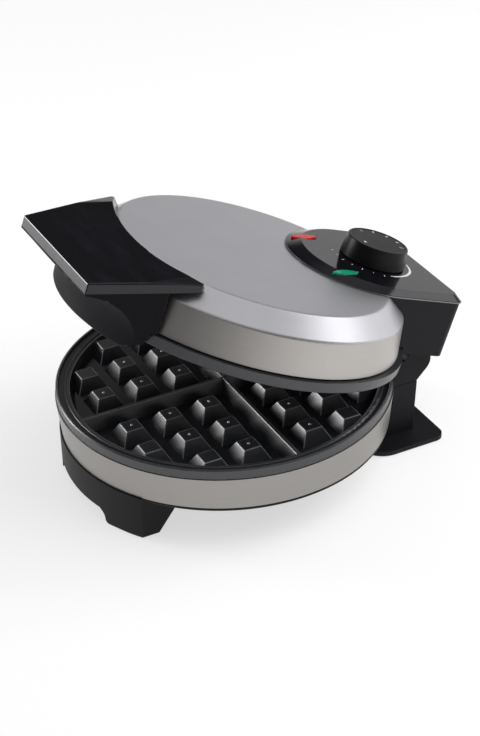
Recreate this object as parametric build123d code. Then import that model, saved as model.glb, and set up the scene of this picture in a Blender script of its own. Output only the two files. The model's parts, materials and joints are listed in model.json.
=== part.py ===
from build123d import *
import math
import os

# A round countertop waffle maker with a hinged lid, drawn about its closed state.
# Z is the axis of the two cooking plates, z = 0 is the rim of the lower plate, -Y is the handle side
# and +Y the hinge side.  Pieces of the lid are drawn from the rim of the upper plate, with h upwards
# from it.  At the end the lid is set ajar and the whole stands on z = 0.  All sizes are millimetres.

# Cooking plates
PLATE_R = 100.0             # lower plate's rim
RIM_OVERHANG = 1.0          # the upper plate's rim is this much larger
RIM_DEPTH = 6.0             # height of the rim's outer edge
RIM_LIP = 1.4               # width of the rim's flat lip
RIM_FLARE = 0.4             # lean of the channel's outer wall
RIM_CHAMFER = 0.6
CHANNEL_DROP = 2.0          # overflow channel and grid tops below the rim
BEAD_INSET = 6.1            # raised bead between pan and channel, in from the rim
BEAD_WIDTH = 2.8
BEAD_RISE = 1.1
PAN_INSET = 11.0            # floor of the pan, in from the rim, so a 178 mm waffle
PAN_DRAFT = 2.8             # how far the pan wall leans out
PAN_DEPTH = 10.0
PAN_WALL = 2.8
PAN_BACK_CHAMFER = 1.8
PLATE_FLOOR = 4.0
DIVIDER_BASE = 8.8          # the cross that parts the four quarters
DIVIDER_TOP = 2.0
PEAK_BASE = 19.2            # the grid's blunt pyramids
PEAK_TOP = 10.5
PEAK_GAP = 5.7
PEAK_LEAST = 6.0            # least reach of a cut pyramid into the pan

# Inside the two shells
PLATE_BOSS_INSET = 10.0     # plate screws, in from the pan's edge
PLATE_BOSS_R = 5.0
PLATE_BOSS_LENGTH = 11.5
ELEMENT_INSET = 17.0        # tubular heating element, in from the plate screws
ELEMENT_TUBE_R = 3.25
ELEMENT_GAP = 21.0          # half the gap between its legs at the hinge side
ELEMENT_LEG_INSET = 7.0     # end of the legs, in from the pan's edge
TERMINAL_R = 1.5
TERMINAL_LENGTH = 7.0
CLAMP_REACH = 11.0          # from the tube's centre to a clamp screw
CLAMP_WIDTH = 10.0
CLAMP_SHEET = 1.5
CLAMP_BOSS_R = 4.0
SHIELD_INSET = 2.0          # heat shield, in from the pan's edge
SHIELD_SHEET = 0.8
SHIELD_RIM = 5.0
SHIELD_NOTCH_GAP = 4.0      # its notch in front of the thermostat's bracket
SHIELD_LEG_GAP = 9.0        # and in front of the element's ends
FUSE_R = 2.5
FUSE_LENGTH = 14.0
FUSE_Y = -30.0
FUSE_STRAP_HALF = 4.0
TERMINAL_BLOCK_HALF = 15.0
TERMINAL_BLOCK_WIDTH = 12.0
TERMINAL_BLOCK_HEIGHT = 4.6
TERMINAL_BLOCK_Y = 55.0
TERMINAL_PITCH = 10.0
TERMINAL_HOLE_R = 2.2
TERMINAL_HOLE_FLOOR = 2.0
THREAD_END = 1.0            # solid metal left before a blind hole's end
THREAD_SPARE = 0.5          # room between a screw's tip and the hole's end
TIP_DROP = 1.5              # tip of a plate screw, short of the plate's back

# Screws
SCREW_R = 2.0
SCREW_HEAD_R = 3.8
SCREW_HEAD = 2.4
SMALL_SCREW_R = 1.5
SMALL_HEAD_R = 2.8
SMALL_HEAD = 1.9
SCREW_WALL = 3.0            # plastic round a screw's thread

# Clearances
SEAT = 0.1                  # between pieces that are screwed together
HOLE_PLAY = 0.2             # round a screw
RUN_PLAY = 0.05             # round a shaft or pin that turns
BODY_GAP = 0.5              # between moving bodies
HEAD_SINK = 0.4             # a screw head below the face round it

# Base
STANCE = 55.0               # rim of the lower plate above the table
BAND_PROUD = 0.6            # stainless band, beyond the rim
BAND_TAPER = 2.2
BAND_HEIGHT = 20.7
BAND_SHEET = 0.8
BAND_LIP = 3.2
TUB_WALL = 2.5
TUB_PLAY = 0.3              # round the cooking plate's bead
TUB_DEPTH = 34.0            # underside of the tub below the rim
TUB_TAPER = 12.4            # floor of the tub, in from the band's lower edge
TUB_LEDGE = 1.8             # ledge that carries the band
LEDGE_INSET = 0.2
TUB_KNEE = 0.6              # inner bend below the ledge
TUB_FLOOR_INSET = 1.0       # inner corner of the floor, in from the outer one
VENT_WIDTH = 3.0
VENT_LENGTH = 34.0
VENT_PITCH = 8.0
VENT_COUNT = 9
FOOT_PROUD = 1.2            # curved front foot, beyond the band's lower edge
FOOT_HALF = 56.0
FOOT_WALL = 3.0
FOOT_SOLE_LENGTH = 28.0     # the front soles, from the foot's front
FOOT_ROOT_LENGTH = 49.6     # the foot under the band
FOOT_KNEE = (12.3, 16.0)    # bend of the foot's rear edge, back and up from the sole
ARCH_HALF = 31.3
ARCH_RISE = 8.0
ARCH_R = 5.5
ARCH_FLARE_R = 2.7
PAD_R = 5.5                 # rubber pads
PAD_HEIGHT = 1.6
PAD_RECESS = 1.0
FRONT_PAD_X = 44.0
FRONT_PAD_INSET = 20.6      # from the foot's front
REAR_PAD_X = 42.0

# Rear stand and hinge
HINGE_REACH = 10.0          # hinge pin behind the lower rim
HINGE_DROP = 4.0            # and below it
SOLE_HALF = 55.0
SOLE_AHEAD = 40.0           # sole in front of the hinge pin
SOLE_BEHIND = 11.5
SOLE_THICK = 3.0
SOLE_FRONT_CORNER = 16.0
SOLE_REAR_CORNER = 6.0
COLUMN_HALF = 40.0
COLUMN_STEP = 0.5           # the column stands in from the sole's front
COLUMN_FOOT_LEAN = 2.8      # the column's rear face in front of the hinge pin, at its foot
COLUMN_HEAD_LEAN = 0.3
COLUMN_WALL = 3.0
SEAM_DROP = 13.4            # top of the column below the hinge pin
STAND_BOSS_R = 4.5
STAND_BOSS_RISE = 3.5
STAND_SCREW_X = 25.0
STAND_SCREW_INSET = 6.0     # from the sole's front
BLOCK_SCREW_X = 32.0
BLOCK_SCREW_INSET = 10.0    # in front of the hinge pin
BLOCK_SCREW_DEPTH = 8.0
BLOCK_AHEAD = 50.0          # the hinge block's front before it is cut round the plate
BLOCK_RISE = 3.0            # its top above the hinge pin
BLOCK_GAP = 1.6             # between it and the lower rim
KNUCKLE_R = 9.3
KNUCKLE_INNER = 27.9        # the knuckles run from here out to the column's side
LUG_R = 8.4
LUG_RUN = 0.8               # round the lug
PIN_R = 3.0
PIN_WALL = 3.0              # from the pin's end to the outside of the blind knuckle
PIN_END_PLAY = 0.3
GLAND_R = 5.5
GLAND_BORE_R = 3.3
GLAND_COLLAR = 1.5
GLAND_COLLAR_THICK = 2.0
GLAND_REACH = 7.0
GLAND_RISE = 12.0           # above the table

# Lid
CLOSED_GAP = 0.6            # between the rims when the lid is shut
OPEN_ANGLE = 21.2           # the lid as it stands ajar
DOME_INSET = 3.5            # stainless dome, in from the upper rim
DOME_SEAM = 1.0             # its foot above the rim's back
DOME_DRAFT = 3.3
DOME_SIDE = 20.5
DOME_BEVEL = 12.2
DOME_CROWN = 10.4
DOME_SHEET = 0.8
DOME_LIP = 2.0
DOME_ROUND = 2.5
FRAME_SHEET = 1.2
FRAME_REACH = 9.0           # steel ring, to both sides of the plate screws
TAB_HALF = 19.0
TAB_INSET = 6.5             # front tab, in from the dome's foot
TAB_ROOT = 4.0
TAB_DROP = 11.5
REAR_TAB_HALF = 6.0
REAR_TAB_GAP = 0.4
REAR_SCREW_SPARE = 13.0     # rear screws beside the window
LID_SCREW_X = 14.0
LID_SCREW_RISE = 14.0       # above the dome's foot
COVER_SCREW = 4.2           # how far the screws bite into the handle's lug

# Handle and front housing
SKIRT_REACH = 7.5           # the curved skirt beyond the upper rim
SKIRT_DROP = 6.0            # below the upper rim
SKIRT_CORNER = 9.5
SKIRT_GAP = 1.8             # room for both rims
SKIRT_END = 15.5            # its rear edge, in front of the wing tips
SKIRT_CORNER_Y = 15.5       # where its corner is measured, behind its front
COVE_R = 22.0               # the hollow curve from the skirt out under the handle
COVE_DROP = 1.0             # its start below the upper rim
HOUSING_WALL = 2.5
MOUNT_WALL = 2.0            # the mounting wall in front of the dome's foot
HANDLE_REACH = 18.5         # the handle's front beyond the skirt
HANDLE_FRONT_HALF = 45.0
HANDLE_LENGTH = 59.5        # from its front to the wing tips
HANDLE_TIP_HALF = 60.2
HANDLE_WING = (8.0, 9.0)    # bevel behind the wing tips, in and back
HANDLE_DROP = 9.5           # its front edge below the disc
HANDLE_SLOPE = 0.225
HANDLE_THICK = 6.4
HANDLE_ARC_R = 119.4        # the concave edge on the disc
HANDLE_ARC_GAP = 0.4
HANDLE_BEVEL = 2.6
HANDLE_BEVEL_DEPTH = 3.0
ARC_REACH = 12.0            # of that bevel, above and below the dome's top
HANDLE_ROUND = 1.2
WING_FACET_START = 30.0     # the facet beside each wing's top, behind the handle's front
WING_FACET_IN = 11.8        # its width at the wing tip
WING_FACET_FALL = 1.8
LUG_SIDE = 5.0              # plastic beside the handle screws
RIB = 2.0

# Rear housing and control panel
BOX_HALF = 47.0
BOX_AHEAD = 50.0            # from the hinge pin
BOX_BEHIND = 12.0
BOX_FLOOR_H = 3.0
BOX_FLOOR = 4.0
BOX_CORNER = 6.0
BOX_GAP = 0.4               # round the upper plate
BOX_DOME_GAP = 0.3          # behind the dome
BOX_SCREW_DEPTH = 20.0
SCREW_END_ROOM = 2.1
PANEL_STEP = 1.0            # foot of the panel above the disc
PANEL_RISE = 3.0
PANEL_OVERHANG = 0.5        # behind the box
PANEL_FOOT_INSET = 47.0     # centre of the round front, from the panel's rear
PANEL_TOP_INSET = 38.3
PANEL_SIDE_LEAN = 4.0
PANEL_REAR_LEAN = 3.2
PANEL_SHEET = 2.0
PANEL_EDGE = 0.6
TRIM_HEIGHT = 0.8
TRIM_PROUD = 0.4
KNOB_AHEAD = 27.5           # dial in front of the hinge pin
KNOB_GAP = 0.6
KNOB_HEIGHT = 11.8
KNOB_FOOT_R = 20.2
KNOB_TOP_R = 18.7
KNOB_ROUND = 0.8
KNOB_WALL = 2.2
KNOB_HUB_R = 6.0
KNOB_CAP_R = 17.0
KNOB_CAP = 1.2
KNOB_CAP_SINK = 0.2
SHAFT_R = 3.0
SHAFT_FLAT = 0.8
SHAFT_GAP = 1.0             # round the spindle in the panel
SHAFT_COLLAR = 1.0          # round part of the spindle in the knob
SHAFT_TOP = 4.2             # spindle's end below the knob's top
THERMOSTAT_WIDTH = 26.0
THERMOSTAT_HEIGHT = 14.0
THERMOSTAT_FLOOR = 3.0
THERMOSTAT_BUSH_R = 5.0
THERMOSTAT_BUSH_DROP = 2.9  # below the disc's top
BRACKET_HALF = 10.0
BRACKET_REACH = 34.0        # in front of the dial
BRACKET_SCREW = 5.0
BRACKET_SCREW_DEPTH = 3.0
BRACKET_SHEET = 1.2
WINDOW_HALF = 19.0
WINDOW_SILL = 5.0
WINDOW_INSET = 18.0         # front of the dome's window, in front of the dial
LENS_X = 25.0
LENS_AHEAD = 34.7           # in front of the dial
LENS_LENGTH = 18.0
LENS_WIDTH = 6.0
LENS_PROUD = 1.3
LENS_FALL = 2.0             # the lens slopes down to its front point
LENS_PLAY = 0.15            # round the lamp
LENS_ROOF_PLAY = 0.4        # above it
LAMP_R = 2.5
LAMP_RISE = 2.4             # above the disc
LAMP_DROP = 7.9
LAMP_HOLE = 0.5
LAMP_HOLDER_R = 5.0

# Derived radii
UPPER_PLATE_R = PLATE_R + RIM_OVERHANG
BEAD_R = PLATE_R - BEAD_INSET
PAN_R = PLATE_R - PAN_INSET
PLATE_BOSS_RING = PAN_R - PLATE_BOSS_INSET
ELEMENT_R = PLATE_BOSS_RING - ELEMENT_INSET
ELEMENT_LEG_Y = PAN_R - ELEMENT_LEG_INSET
SHIELD_R = PAN_R - SHIELD_INSET
TUB_INNER_R = BEAD_R + TUB_PLAY
TUB_OUTER_R = TUB_INNER_R + TUB_WALL
BAND_TOP_R = PLATE_R + BAND_PROUD
BAND_BOTTOM_R = BAND_TOP_R - BAND_TAPER
TUB_FLOOR_R = BAND_BOTTOM_R - TUB_TAPER
FOOT_R = BAND_BOTTOM_R + FOOT_PROUD
DOME_FOOT_R = UPPER_PLATE_R - DOME_INSET
DOME_CREST_R = DOME_FOOT_R - DOME_DRAFT
DOME_TOP_R = DOME_CREST_R - DOME_BEVEL
FRAME_INNER_R = PLATE_BOSS_RING - FRAME_REACH
FRAME_OUTER_R = PLATE_BOSS_RING + FRAME_REACH
SKIRT_R = UPPER_PLATE_R + SKIRT_REACH
SKIRT_CLEAR_R = UPPER_PLATE_R + SKIRT_GAP

# Derived heights, down from the lower rim or up from the upper one
PLATE_BACK = PAN_DEPTH + PLATE_FLOOR
CLAMP_BACK = PLATE_BACK + 2 * ELEMENT_TUBE_R + 2 * RUN_PLAY
SHIELD_BACK = PLATE_BACK + PLATE_BOSS_LENGTH
FRAME_BACK = SHIELD_BACK + SHIELD_SHEET
LID_SCREW_BACK = FRAME_BACK + FRAME_SHEET
BAND_TOP_Z = -RIM_DEPTH - SEAT
BAND_BOTTOM_Z = BAND_TOP_Z - BAND_HEIGHT
LEDGE_Z = BAND_BOTTOM_Z - SEAT
TUB_FLOOR_Z = -TUB_DEPTH + TUB_WALL
FLOOR_Z = -STANCE
SOLE_TOP_Z = FLOOR_Z + PAD_HEIGHT - PAD_RECESS + SOLE_THICK
SOLE_Z = SOLE_TOP_Z - SOLE_THICK
HINGE_Z = -HINGE_DROP
HINGE_H = HINGE_Z - CLOSED_GAP
SEAM_Z = HINGE_Z - SEAM_DROP
GLAND_Z = FLOOR_Z + GLAND_RISE
DOME_FOOT_H = RIM_DEPTH + DOME_SEAM
DOME_CREST_H = DOME_FOOT_H + DOME_SIDE
DOME_TOP_H = DOME_CREST_H + DOME_CROWN
LID_SCREW_H = DOME_FOOT_H + LID_SCREW_RISE
HANDLE_FRONT_H = DOME_TOP_H - HANDLE_DROP
PANEL_FOOT_H = DOME_TOP_H + PANEL_STEP
PANEL_TOP_H = PANEL_FOOT_H + PANEL_RISE
KNOB_FOOT_H = PANEL_TOP_H + KNOB_GAP
KNOB_TOP_H = KNOB_FOOT_H + KNOB_HEIGHT
LENS_TOP_H = PANEL_TOP_H + LENS_PROUD
LENS_FRONT_H = LENS_TOP_H - LENS_FALL
LAMP_TOP_H = DOME_TOP_H + LAMP_RISE
LAMP_BOTTOM_H = DOME_TOP_H - LAMP_DROP
THERMOSTAT_BUSH_TOP_H = DOME_TOP_H - THERMOSTAT_BUSH_DROP

# Derived places from front to back
HANDLE_FRONT_Y = -SKIRT_R - HANDLE_REACH
HANDLE_TIP_Y = HANDLE_FRONT_Y + HANDLE_LENGTH
HANDLE_ARC_Y = HANDLE_ARC_R - DOME_TOP_R - HANDLE_ARC_GAP
TAB_Y = DOME_FOOT_R - TAB_INSET
FOOT_SOLE_Y = -FOOT_R + FOOT_SOLE_LENGTH
FOOT_ROOT_Y = -FOOT_R + FOOT_ROOT_LENGTH
HINGE_Y = PLATE_R + HINGE_REACH
SOLE_FRONT_Y = HINGE_Y - SOLE_AHEAD
SOLE_REAR_Y = HINGE_Y + SOLE_BEHIND
COLUMN_FRONT_Y = SOLE_FRONT_Y + COLUMN_STEP
COLUMN_FOOT_Y = HINGE_Y - COLUMN_FOOT_LEAN
COLUMN_HEAD_Y = HINGE_Y - COLUMN_HEAD_LEAN
BLOCK_FRONT_Y = HINGE_Y - BLOCK_AHEAD
BOX_FRONT_Y = HINGE_Y - BOX_AHEAD
BOX_REAR_Y = HINGE_Y + BOX_BEHIND
PANEL_REAR_Y = BOX_REAR_Y + PANEL_OVERHANG
PANEL_TOP_REAR_Y = PANEL_REAR_Y - PANEL_REAR_LEAN
PANEL_FOOT_CENTRE_Y = PANEL_REAR_Y - PANEL_FOOT_INSET
PANEL_TOP_CENTRE_Y = PANEL_TOP_REAR_Y - PANEL_TOP_INSET
PANEL_TOP_HALF = BOX_HALF - PANEL_SIDE_LEAN
KNOB_Y = HINGE_Y - KNOB_AHEAD
BRACKET_FRONT_Y = KNOB_Y - BRACKET_REACH
LENS_Y = KNOB_Y - LENS_AHEAD
FRONT_PAD = (FRONT_PAD_X, -FOOT_R + FRONT_PAD_INSET)
REAR_PAD = (REAR_PAD_X, HINGE_Y)
STAND_SCREW = (STAND_SCREW_X, SOLE_FRONT_Y + STAND_SCREW_INSET)
BLOCK_SCREW = (BLOCK_SCREW_X, HINGE_Y - BLOCK_SCREW_INSET)
FIRST_PEAK = DIVIDER_BASE / 2 + PEAK_GAP + PEAK_BASE / 2
PEAK_PITCH = PEAK_BASE + PEAK_GAP
LUG_HALF = KNUCKLE_INNER - BODY_GAP
REAR_SCREW_X = WINDOW_HALF + REAR_SCREW_SPARE
FUSE_REACH = FUSE_LENGTH / 2 + CLAMP_BOSS_R
MARGIN = 1.0                # how far a cutter runs past what it cuts


def box(x0, x1, y0, y1, z0, z1):
    """A block between two corners."""
    block = Box(x1 - x0, y1 - y0, z1 - z0, align=(Align.MIN, Align.MIN, Align.MIN))
    return Pos(x0, y0, z0) * block


def rod(r, x, y, z0, z1):
    """An upright cylinder from z0 to z1."""
    cylinder = Cylinder(r, z1 - z0, align=(Align.CENTER, Align.CENTER, Align.MIN))
    return Pos(x, y, z0) * cylinder


def rod_x(r, x0, x1, y, z):
    """A cylinder along X."""
    cylinder = Cylinder(r, x1 - x0, align=(Align.CENTER, Align.CENTER, Align.MIN))
    return Pos(x0, y, z) * Rot(0, 90, 0) * cylinder


def rod_y(r, x, y0, y1, z):
    """A cylinder along Y."""
    cylinder = Cylinder(r, y1 - y0, align=(Align.CENTER, Align.CENTER, Align.MIN))
    return Pos(x, y0, z) * Rot(-90, 0, 0) * cylinder


def turned(points):
    """A solid of revolution about Z from a closed outline of (radius, height)."""
    outline = Polyline([(r, 0, z) for r, z in points], close=True)
    return revolve(make_face(outline.edges()), Axis.Z, 360)


def prism_x(points, half):
    """A closed (y, z) outline drawn out along X to both sides."""
    outline = Polyline([(-half, y, z) for y, z in points], close=True)
    return extrude(make_face(outline.edges()), 2 * half, (1, 0, 0))


def both_sides(piece):
    """The piece and its mirror image across the middle plane."""
    return piece + mirror(piece, about=Plane.YZ)


def around(piece, count, start=0.0):
    """Copies of a piece about Z."""
    return [Rot(0, 0, start + 360 / count * i) * piece for i in range(count)]


def group(pieces):
    """Separate solids that share one node."""
    return Compound(children=[solid for piece in pieces for solid in piece.solids()])


# Screws

def screw_up(x, y, z0, z1, r=SCREW_R, head_r=SCREW_HEAD_R, head=SCREW_HEAD):
    """A screw with its head's face at z0 and its tip at z1, below or above it."""
    way = 1 if z1 > z0 else -1
    shank = rod(r, x, y, min(z0, z1), max(z0, z1))
    low = z0 - head if way > 0 else z0
    return shank + rod(head_r, x, y, low, low + head)


def small_screw(x, y, z0, z1):
    """A small screw, as the clamps have."""
    return screw_up(x, y, z0, z1, SMALL_SCREW_R, SMALL_HEAD_R, SMALL_HEAD)


# Cooking plates

def plate_outline(rim_r):
    """Half the section of a plate whose pan opens upwards."""
    wall_top = PAN_R + PAN_DRAFT
    bead_in = BEAD_R - BEAD_WIDTH / 2
    bead_out = BEAD_R + BEAD_WIDTH / 2
    lip_in = rim_r - RIM_LIP
    under = PAN_R + PAN_DRAFT / 2 + PAN_WALL
    before = Polyline((0, 0, -PLATE_BACK), (0, 0, -PAN_DEPTH), (PAN_R, 0, -PAN_DEPTH),
                      (wall_top, 0, -CHANNEL_DROP), (bead_in, 0, -CHANNEL_DROP))
    bead = ThreePointArc((bead_in, 0, -CHANNEL_DROP), (BEAD_R, 0, -CHANNEL_DROP + BEAD_RISE),
                         (bead_out, 0, -CHANNEL_DROP))
    edge = Polyline((bead_out, 0, -CHANNEL_DROP), (lip_in - RIM_FLARE, 0, -CHANNEL_DROP),
                    (lip_in, 0, 0), (rim_r - RIM_CHAMFER, 0, 0), (rim_r, 0, -RIM_CHAMFER),
                    (rim_r, 0, -RIM_DEPTH), (under, 0, -RIM_DEPTH),
                    (under - PAN_BACK_CHAMFER, 0, -PLATE_BACK), (0, 0, -PLATE_BACK))
    return make_face([*before.edges(), bead, *edge.edges()])


def peak(x, y):
    """One blunt pyramid of the grid."""
    foot = Pos(x, y, -PAN_DEPTH) * Rectangle(PEAK_BASE, PEAK_BASE)
    top = Pos(x, y, -CHANNEL_DROP) * Rectangle(PEAK_TOP, PEAK_TOP)
    return loft([foot, top])


def grid():
    """The pyramids of all four quarters, the outer ones cut off by the pan's wall."""
    within = rod(PAN_R + PAN_DRAFT, 0, 0, -PAN_DEPTH, -CHANNEL_DROP)
    most = math.ceil(PAN_R / PEAK_PITCH)
    half = PEAK_BASE / 2
    peaks = []
    for i in range(most):
        for j in range(most):
            x = FIRST_PEAK + i * PEAK_PITCH
            y = FIRST_PEAK + j * PEAK_PITCH
            if math.hypot(x - half, y - half) > PAN_R - PEAK_LEAST:
                continue
            one = peak(x, y)
            if math.hypot(x + half, y + half) > PAN_R:
                one = one & within
            peaks += around(one, 4)
    return peaks


def dividers():
    """The cross between the quarters."""
    half = PAN_R + PAN_DRAFT
    rise = PAN_DEPTH - CHANNEL_DROP
    section = [(-DIVIDER_BASE / 2, -PAN_DEPTH), (DIVIDER_BASE / 2, -PAN_DEPTH),
               (DIVIDER_TOP / 2, -PAN_DEPTH + rise), (-DIVIDER_TOP / 2, -PAN_DEPTH + rise)]
    bar = prism_x(section, half)
    return [bar, Rot(0, 0, 90) * bar]


def clamp_places():
    """Centre and direction of the three element clamps, in degrees from +X."""
    return [0.0, 180.0, 270.0]


def plate_bosses():
    """Cast bosses on the back of a plate, for its four screws and the clamps."""
    post = rod(PLATE_BOSS_R, PLATE_BOSS_RING, 0, -SHIELD_BACK, -PLATE_BACK)
    bosses = around(post, 4, 45)
    inner = rod(CLAMP_BOSS_R, ELEMENT_R - CLAMP_REACH, 0, -CLAMP_BACK, -PLATE_BACK)
    outer = rod(CLAMP_BOSS_R, ELEMENT_R + CLAMP_REACH, 0, -CLAMP_BACK, -PLATE_BACK)
    for angle in clamp_places():
        bosses += [Rot(0, 0, angle) * inner, Rot(0, 0, angle) * outer]
    return bosses


def plate_holes():
    """Blind holes in those bosses."""
    deep = rod(SCREW_R + RUN_PLAY, PLATE_BOSS_RING, 0, -SHIELD_BACK, -PLATE_BACK + THREAD_END)
    holes = around(deep, 4, 45)
    small = SMALL_SCREW_R + RUN_PLAY
    for angle in clamp_places():
        for reach in (-CLAMP_REACH, CLAMP_REACH):
            hole = rod(small, ELEMENT_R + reach, 0, -CLAMP_BACK, -PLATE_BACK + THREAD_END)
            holes.append(Rot(0, 0, angle) * hole)
    return holes


def cooking_plate(rim_r):
    """A cast plate with its pan upwards."""
    body = revolve(plate_outline(rim_r), Axis.Z, 360)
    body = body + dividers() + grid() + plate_bosses()
    return body - plate_holes()


def flipped(piece):
    """Turn a piece of the lower half over for the lid, without changing left and right."""
    return mirror(piece, about=Plane.XY)


def lower_plate():
    plate = cooking_plate(PLATE_R)
    boss = rod(CLAMP_BOSS_R, FUSE_REACH, FUSE_Y, fuse_back(), -PLATE_BACK)
    hole = rod(SMALL_SCREW_R + RUN_PLAY, FUSE_REACH, FUSE_Y, fuse_back(), -PLATE_BACK + THREAD_END)
    return plate + both_sides(boss) - both_sides(hole)


def upper_plate():
    plate = flipped(cooking_plate(UPPER_PLATE_R))
    low = PLATE_BACK - BRACKET_SCREW_DEPTH
    tap = rod(SMALL_SCREW_R + RUN_PLAY, 0, BRACKET_FRONT_Y + BRACKET_SCREW, low, PLATE_BACK)
    return plate - tap


# Heating elements and what holds them

def heating_element():
    """A ring of tube with two legs towards the hinge, each with a terminal pin."""
    z = -PLATE_BACK - ELEMENT_TUBE_R - RUN_PLAY
    start_y = math.sqrt(ELEMENT_R ** 2 - ELEMENT_GAP ** 2)
    leg_start = Plane((ELEMENT_GAP, start_y, z), z_dir=(0, 1, 0))
    angle = math.degrees(math.atan2(ELEMENT_GAP, start_y))
    profile = Plane((0, ELEMENT_R, z), z_dir=(1, 0, 0)) * Circle(ELEMENT_TUBE_R)
    ring = Rot(0, 0, -angle) * revolve(profile, Axis.Z, -(360 - 2 * angle))
    leg = extrude(leg_start * Circle(ELEMENT_TUBE_R), ELEMENT_LEG_Y - start_y)
    pin = rod_y(TERMINAL_R, ELEMENT_GAP, ELEMENT_LEG_Y, ELEMENT_LEG_Y + TERMINAL_LENGTH, z)
    return ring + both_sides(leg + pin)


def element_clamps():
    """Three straps that press the element against its plate."""
    length = 2 * CLAMP_REACH + CLAMP_WIDTH
    low = -CLAMP_BACK - CLAMP_SHEET
    strap = box(ELEMENT_R - length / 2, ELEMENT_R + length / 2, -CLAMP_WIDTH / 2, CLAMP_WIDTH / 2,
                low, -CLAMP_BACK)
    for reach in (-CLAMP_REACH, CLAMP_REACH):
        strap -= rod(SMALL_SCREW_R + HOLE_PLAY, ELEMENT_R + reach, 0, low, -CLAMP_BACK)
    return group([Rot(0, 0, angle) * strap for angle in clamp_places()])


def clamp_screws():
    face = -CLAMP_BACK - CLAMP_SHEET
    tip = -PLATE_BACK + THREAD_END - THREAD_SPARE
    screws = []
    for angle in clamp_places():
        for reach in (-CLAMP_REACH, CLAMP_REACH):
            one = small_screw(ELEMENT_R + reach, 0, face, tip)
            screws.append(Rot(0, 0, angle) * one)
    return group(screws)


def heat_shield():
    """A shallow sheet dish behind the element, clamped on the plate's bosses."""
    back = -SHIELD_BACK - SHIELD_SHEET
    inner = SHIELD_R - SHIELD_SHEET
    rim_z = -SHIELD_BACK + SHIELD_RIM
    dish = turned([(0, back), (SHIELD_R, back), (SHIELD_R, rim_z), (inner, rim_z),
                   (inner, -SHIELD_BACK), (0, -SHIELD_BACK)])
    hole = rod(SCREW_R + HOLE_PLAY, PLATE_BOSS_RING, 0, back, -SHIELD_BACK)
    edge = SHIELD_R + MARGIN
    rear = box(-WINDOW_HALF, WINDOW_HALF, BRACKET_FRONT_Y - SHIELD_NOTCH_GAP, edge, back, rim_z)
    notch = REAR_SCREW_X + SCREW_HEAD_R + MARGIN
    legs = box(-notch, notch, ELEMENT_LEG_Y - SHIELD_LEG_GAP, edge, back, rim_z)
    return dish - around(hole, 4, 45) - rear - legs


def thermal_fuse():
    z = -PLATE_BACK - FUSE_R - RUN_PLAY
    return rod_x(FUSE_R, -FUSE_LENGTH / 2, FUSE_LENGTH / 2, FUSE_Y, z)


def fuse_back():
    """Height of the bosses beside the thermal fuse."""
    return -PLATE_BACK - 2 * FUSE_R - 2 * RUN_PLAY


def fuse_clamp():
    """The strap that presses the thermal fuse against the lower plate."""
    top = fuse_back()
    end = FUSE_REACH + CLAMP_BOSS_R
    half = FUSE_STRAP_HALF
    strap = box(-end, end, FUSE_Y - half, FUSE_Y + half, top - CLAMP_SHEET, top)
    hole = rod(SMALL_SCREW_R + HOLE_PLAY, FUSE_REACH, FUSE_Y, top - CLAMP_SHEET, top)
    return strap - both_sides(hole)


def fuse_screws():
    tip = -PLATE_BACK + THREAD_END - THREAD_SPARE
    one = small_screw(FUSE_REACH, FUSE_Y, fuse_back() - CLAMP_SHEET, tip)
    return group([one, mirror(one, about=Plane.YZ)])


# Base

def lower_band():
    """The stainless band, with its edges turned in above and below."""
    lip_in = BAND_TOP_R - BAND_LIP
    hem_in = TUB_OUTER_R + SEAT
    t = BAND_SHEET
    return turned([(lip_in, BAND_TOP_Z), (BAND_TOP_R, BAND_TOP_Z), (BAND_BOTTOM_R, BAND_BOTTOM_Z),
                   (hem_in, BAND_BOTTOM_Z), (hem_in, BAND_BOTTOM_Z + t),
                   (BAND_BOTTOM_R - t, BAND_BOTTOM_Z + t), (BAND_TOP_R - t, BAND_TOP_Z - t),
                   (lip_in, BAND_TOP_Z - t)])


def tub_outside():
    """The tub as a filled form."""
    ledge_r = BAND_BOTTOM_R - LEDGE_INSET
    return turned([(0, BAND_TOP_Z), (TUB_OUTER_R, BAND_TOP_Z), (TUB_OUTER_R, LEDGE_Z),
                   (ledge_r, LEDGE_Z), (ledge_r, LEDGE_Z - TUB_LEDGE), (TUB_FLOOR_R, -TUB_DEPTH),
                   (0, -TUB_DEPTH)])


def tub_inside():
    """The room inside the tub."""
    above = MARGIN
    return turned([(0, above), (TUB_INNER_R, above), (TUB_INNER_R, LEDGE_Z - TUB_KNEE),
                   (TUB_FLOOR_R - TUB_FLOOR_INSET, TUB_FLOOR_Z), (0, TUB_FLOOR_Z)])


def arch_cutter():
    """The low arch between the two front soles, with its rounded shoulders."""
    shoulder = ARCH_HALF - ARCH_R
    top = SOLE_Z + ARCH_RISE
    rest = top - ARCH_R
    foot_x = ARCH_HALF + ARCH_FLARE_R
    flare_z = SOLE_Z + ARCH_FLARE_R
    k = math.sin(math.pi / 4)
    y = -FOOT_R - MARGIN
    right = [ThreePointArc((shoulder, y, top), (shoulder + ARCH_R * k, y, rest + ARCH_R * k),
                           (ARCH_HALF, y, rest)),
             Line((ARCH_HALF, y, rest), (ARCH_HALF, y, flare_z)),
             ThreePointArc((ARCH_HALF, y, flare_z),
                           (foot_x - ARCH_FLARE_R * k, y, flare_z - ARCH_FLARE_R * k),
                           (foot_x, y, SOLE_Z))]
    left = [mirror(edge, about=Plane.YZ) for edge in right]
    low = SOLE_Z - MARGIN
    bottom = Polyline((foot_x, y, SOLE_Z), (foot_x, y, low), (-foot_x, y, low), (-foot_x, y, SOLE_Z))
    crown = Line((-shoulder, y, top), (shoulder, y, top))
    edges = [crown, *right, *left, *bottom.edges()]
    return extrude(make_face(edges), FOOT_R, (0, 1, 0))


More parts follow.
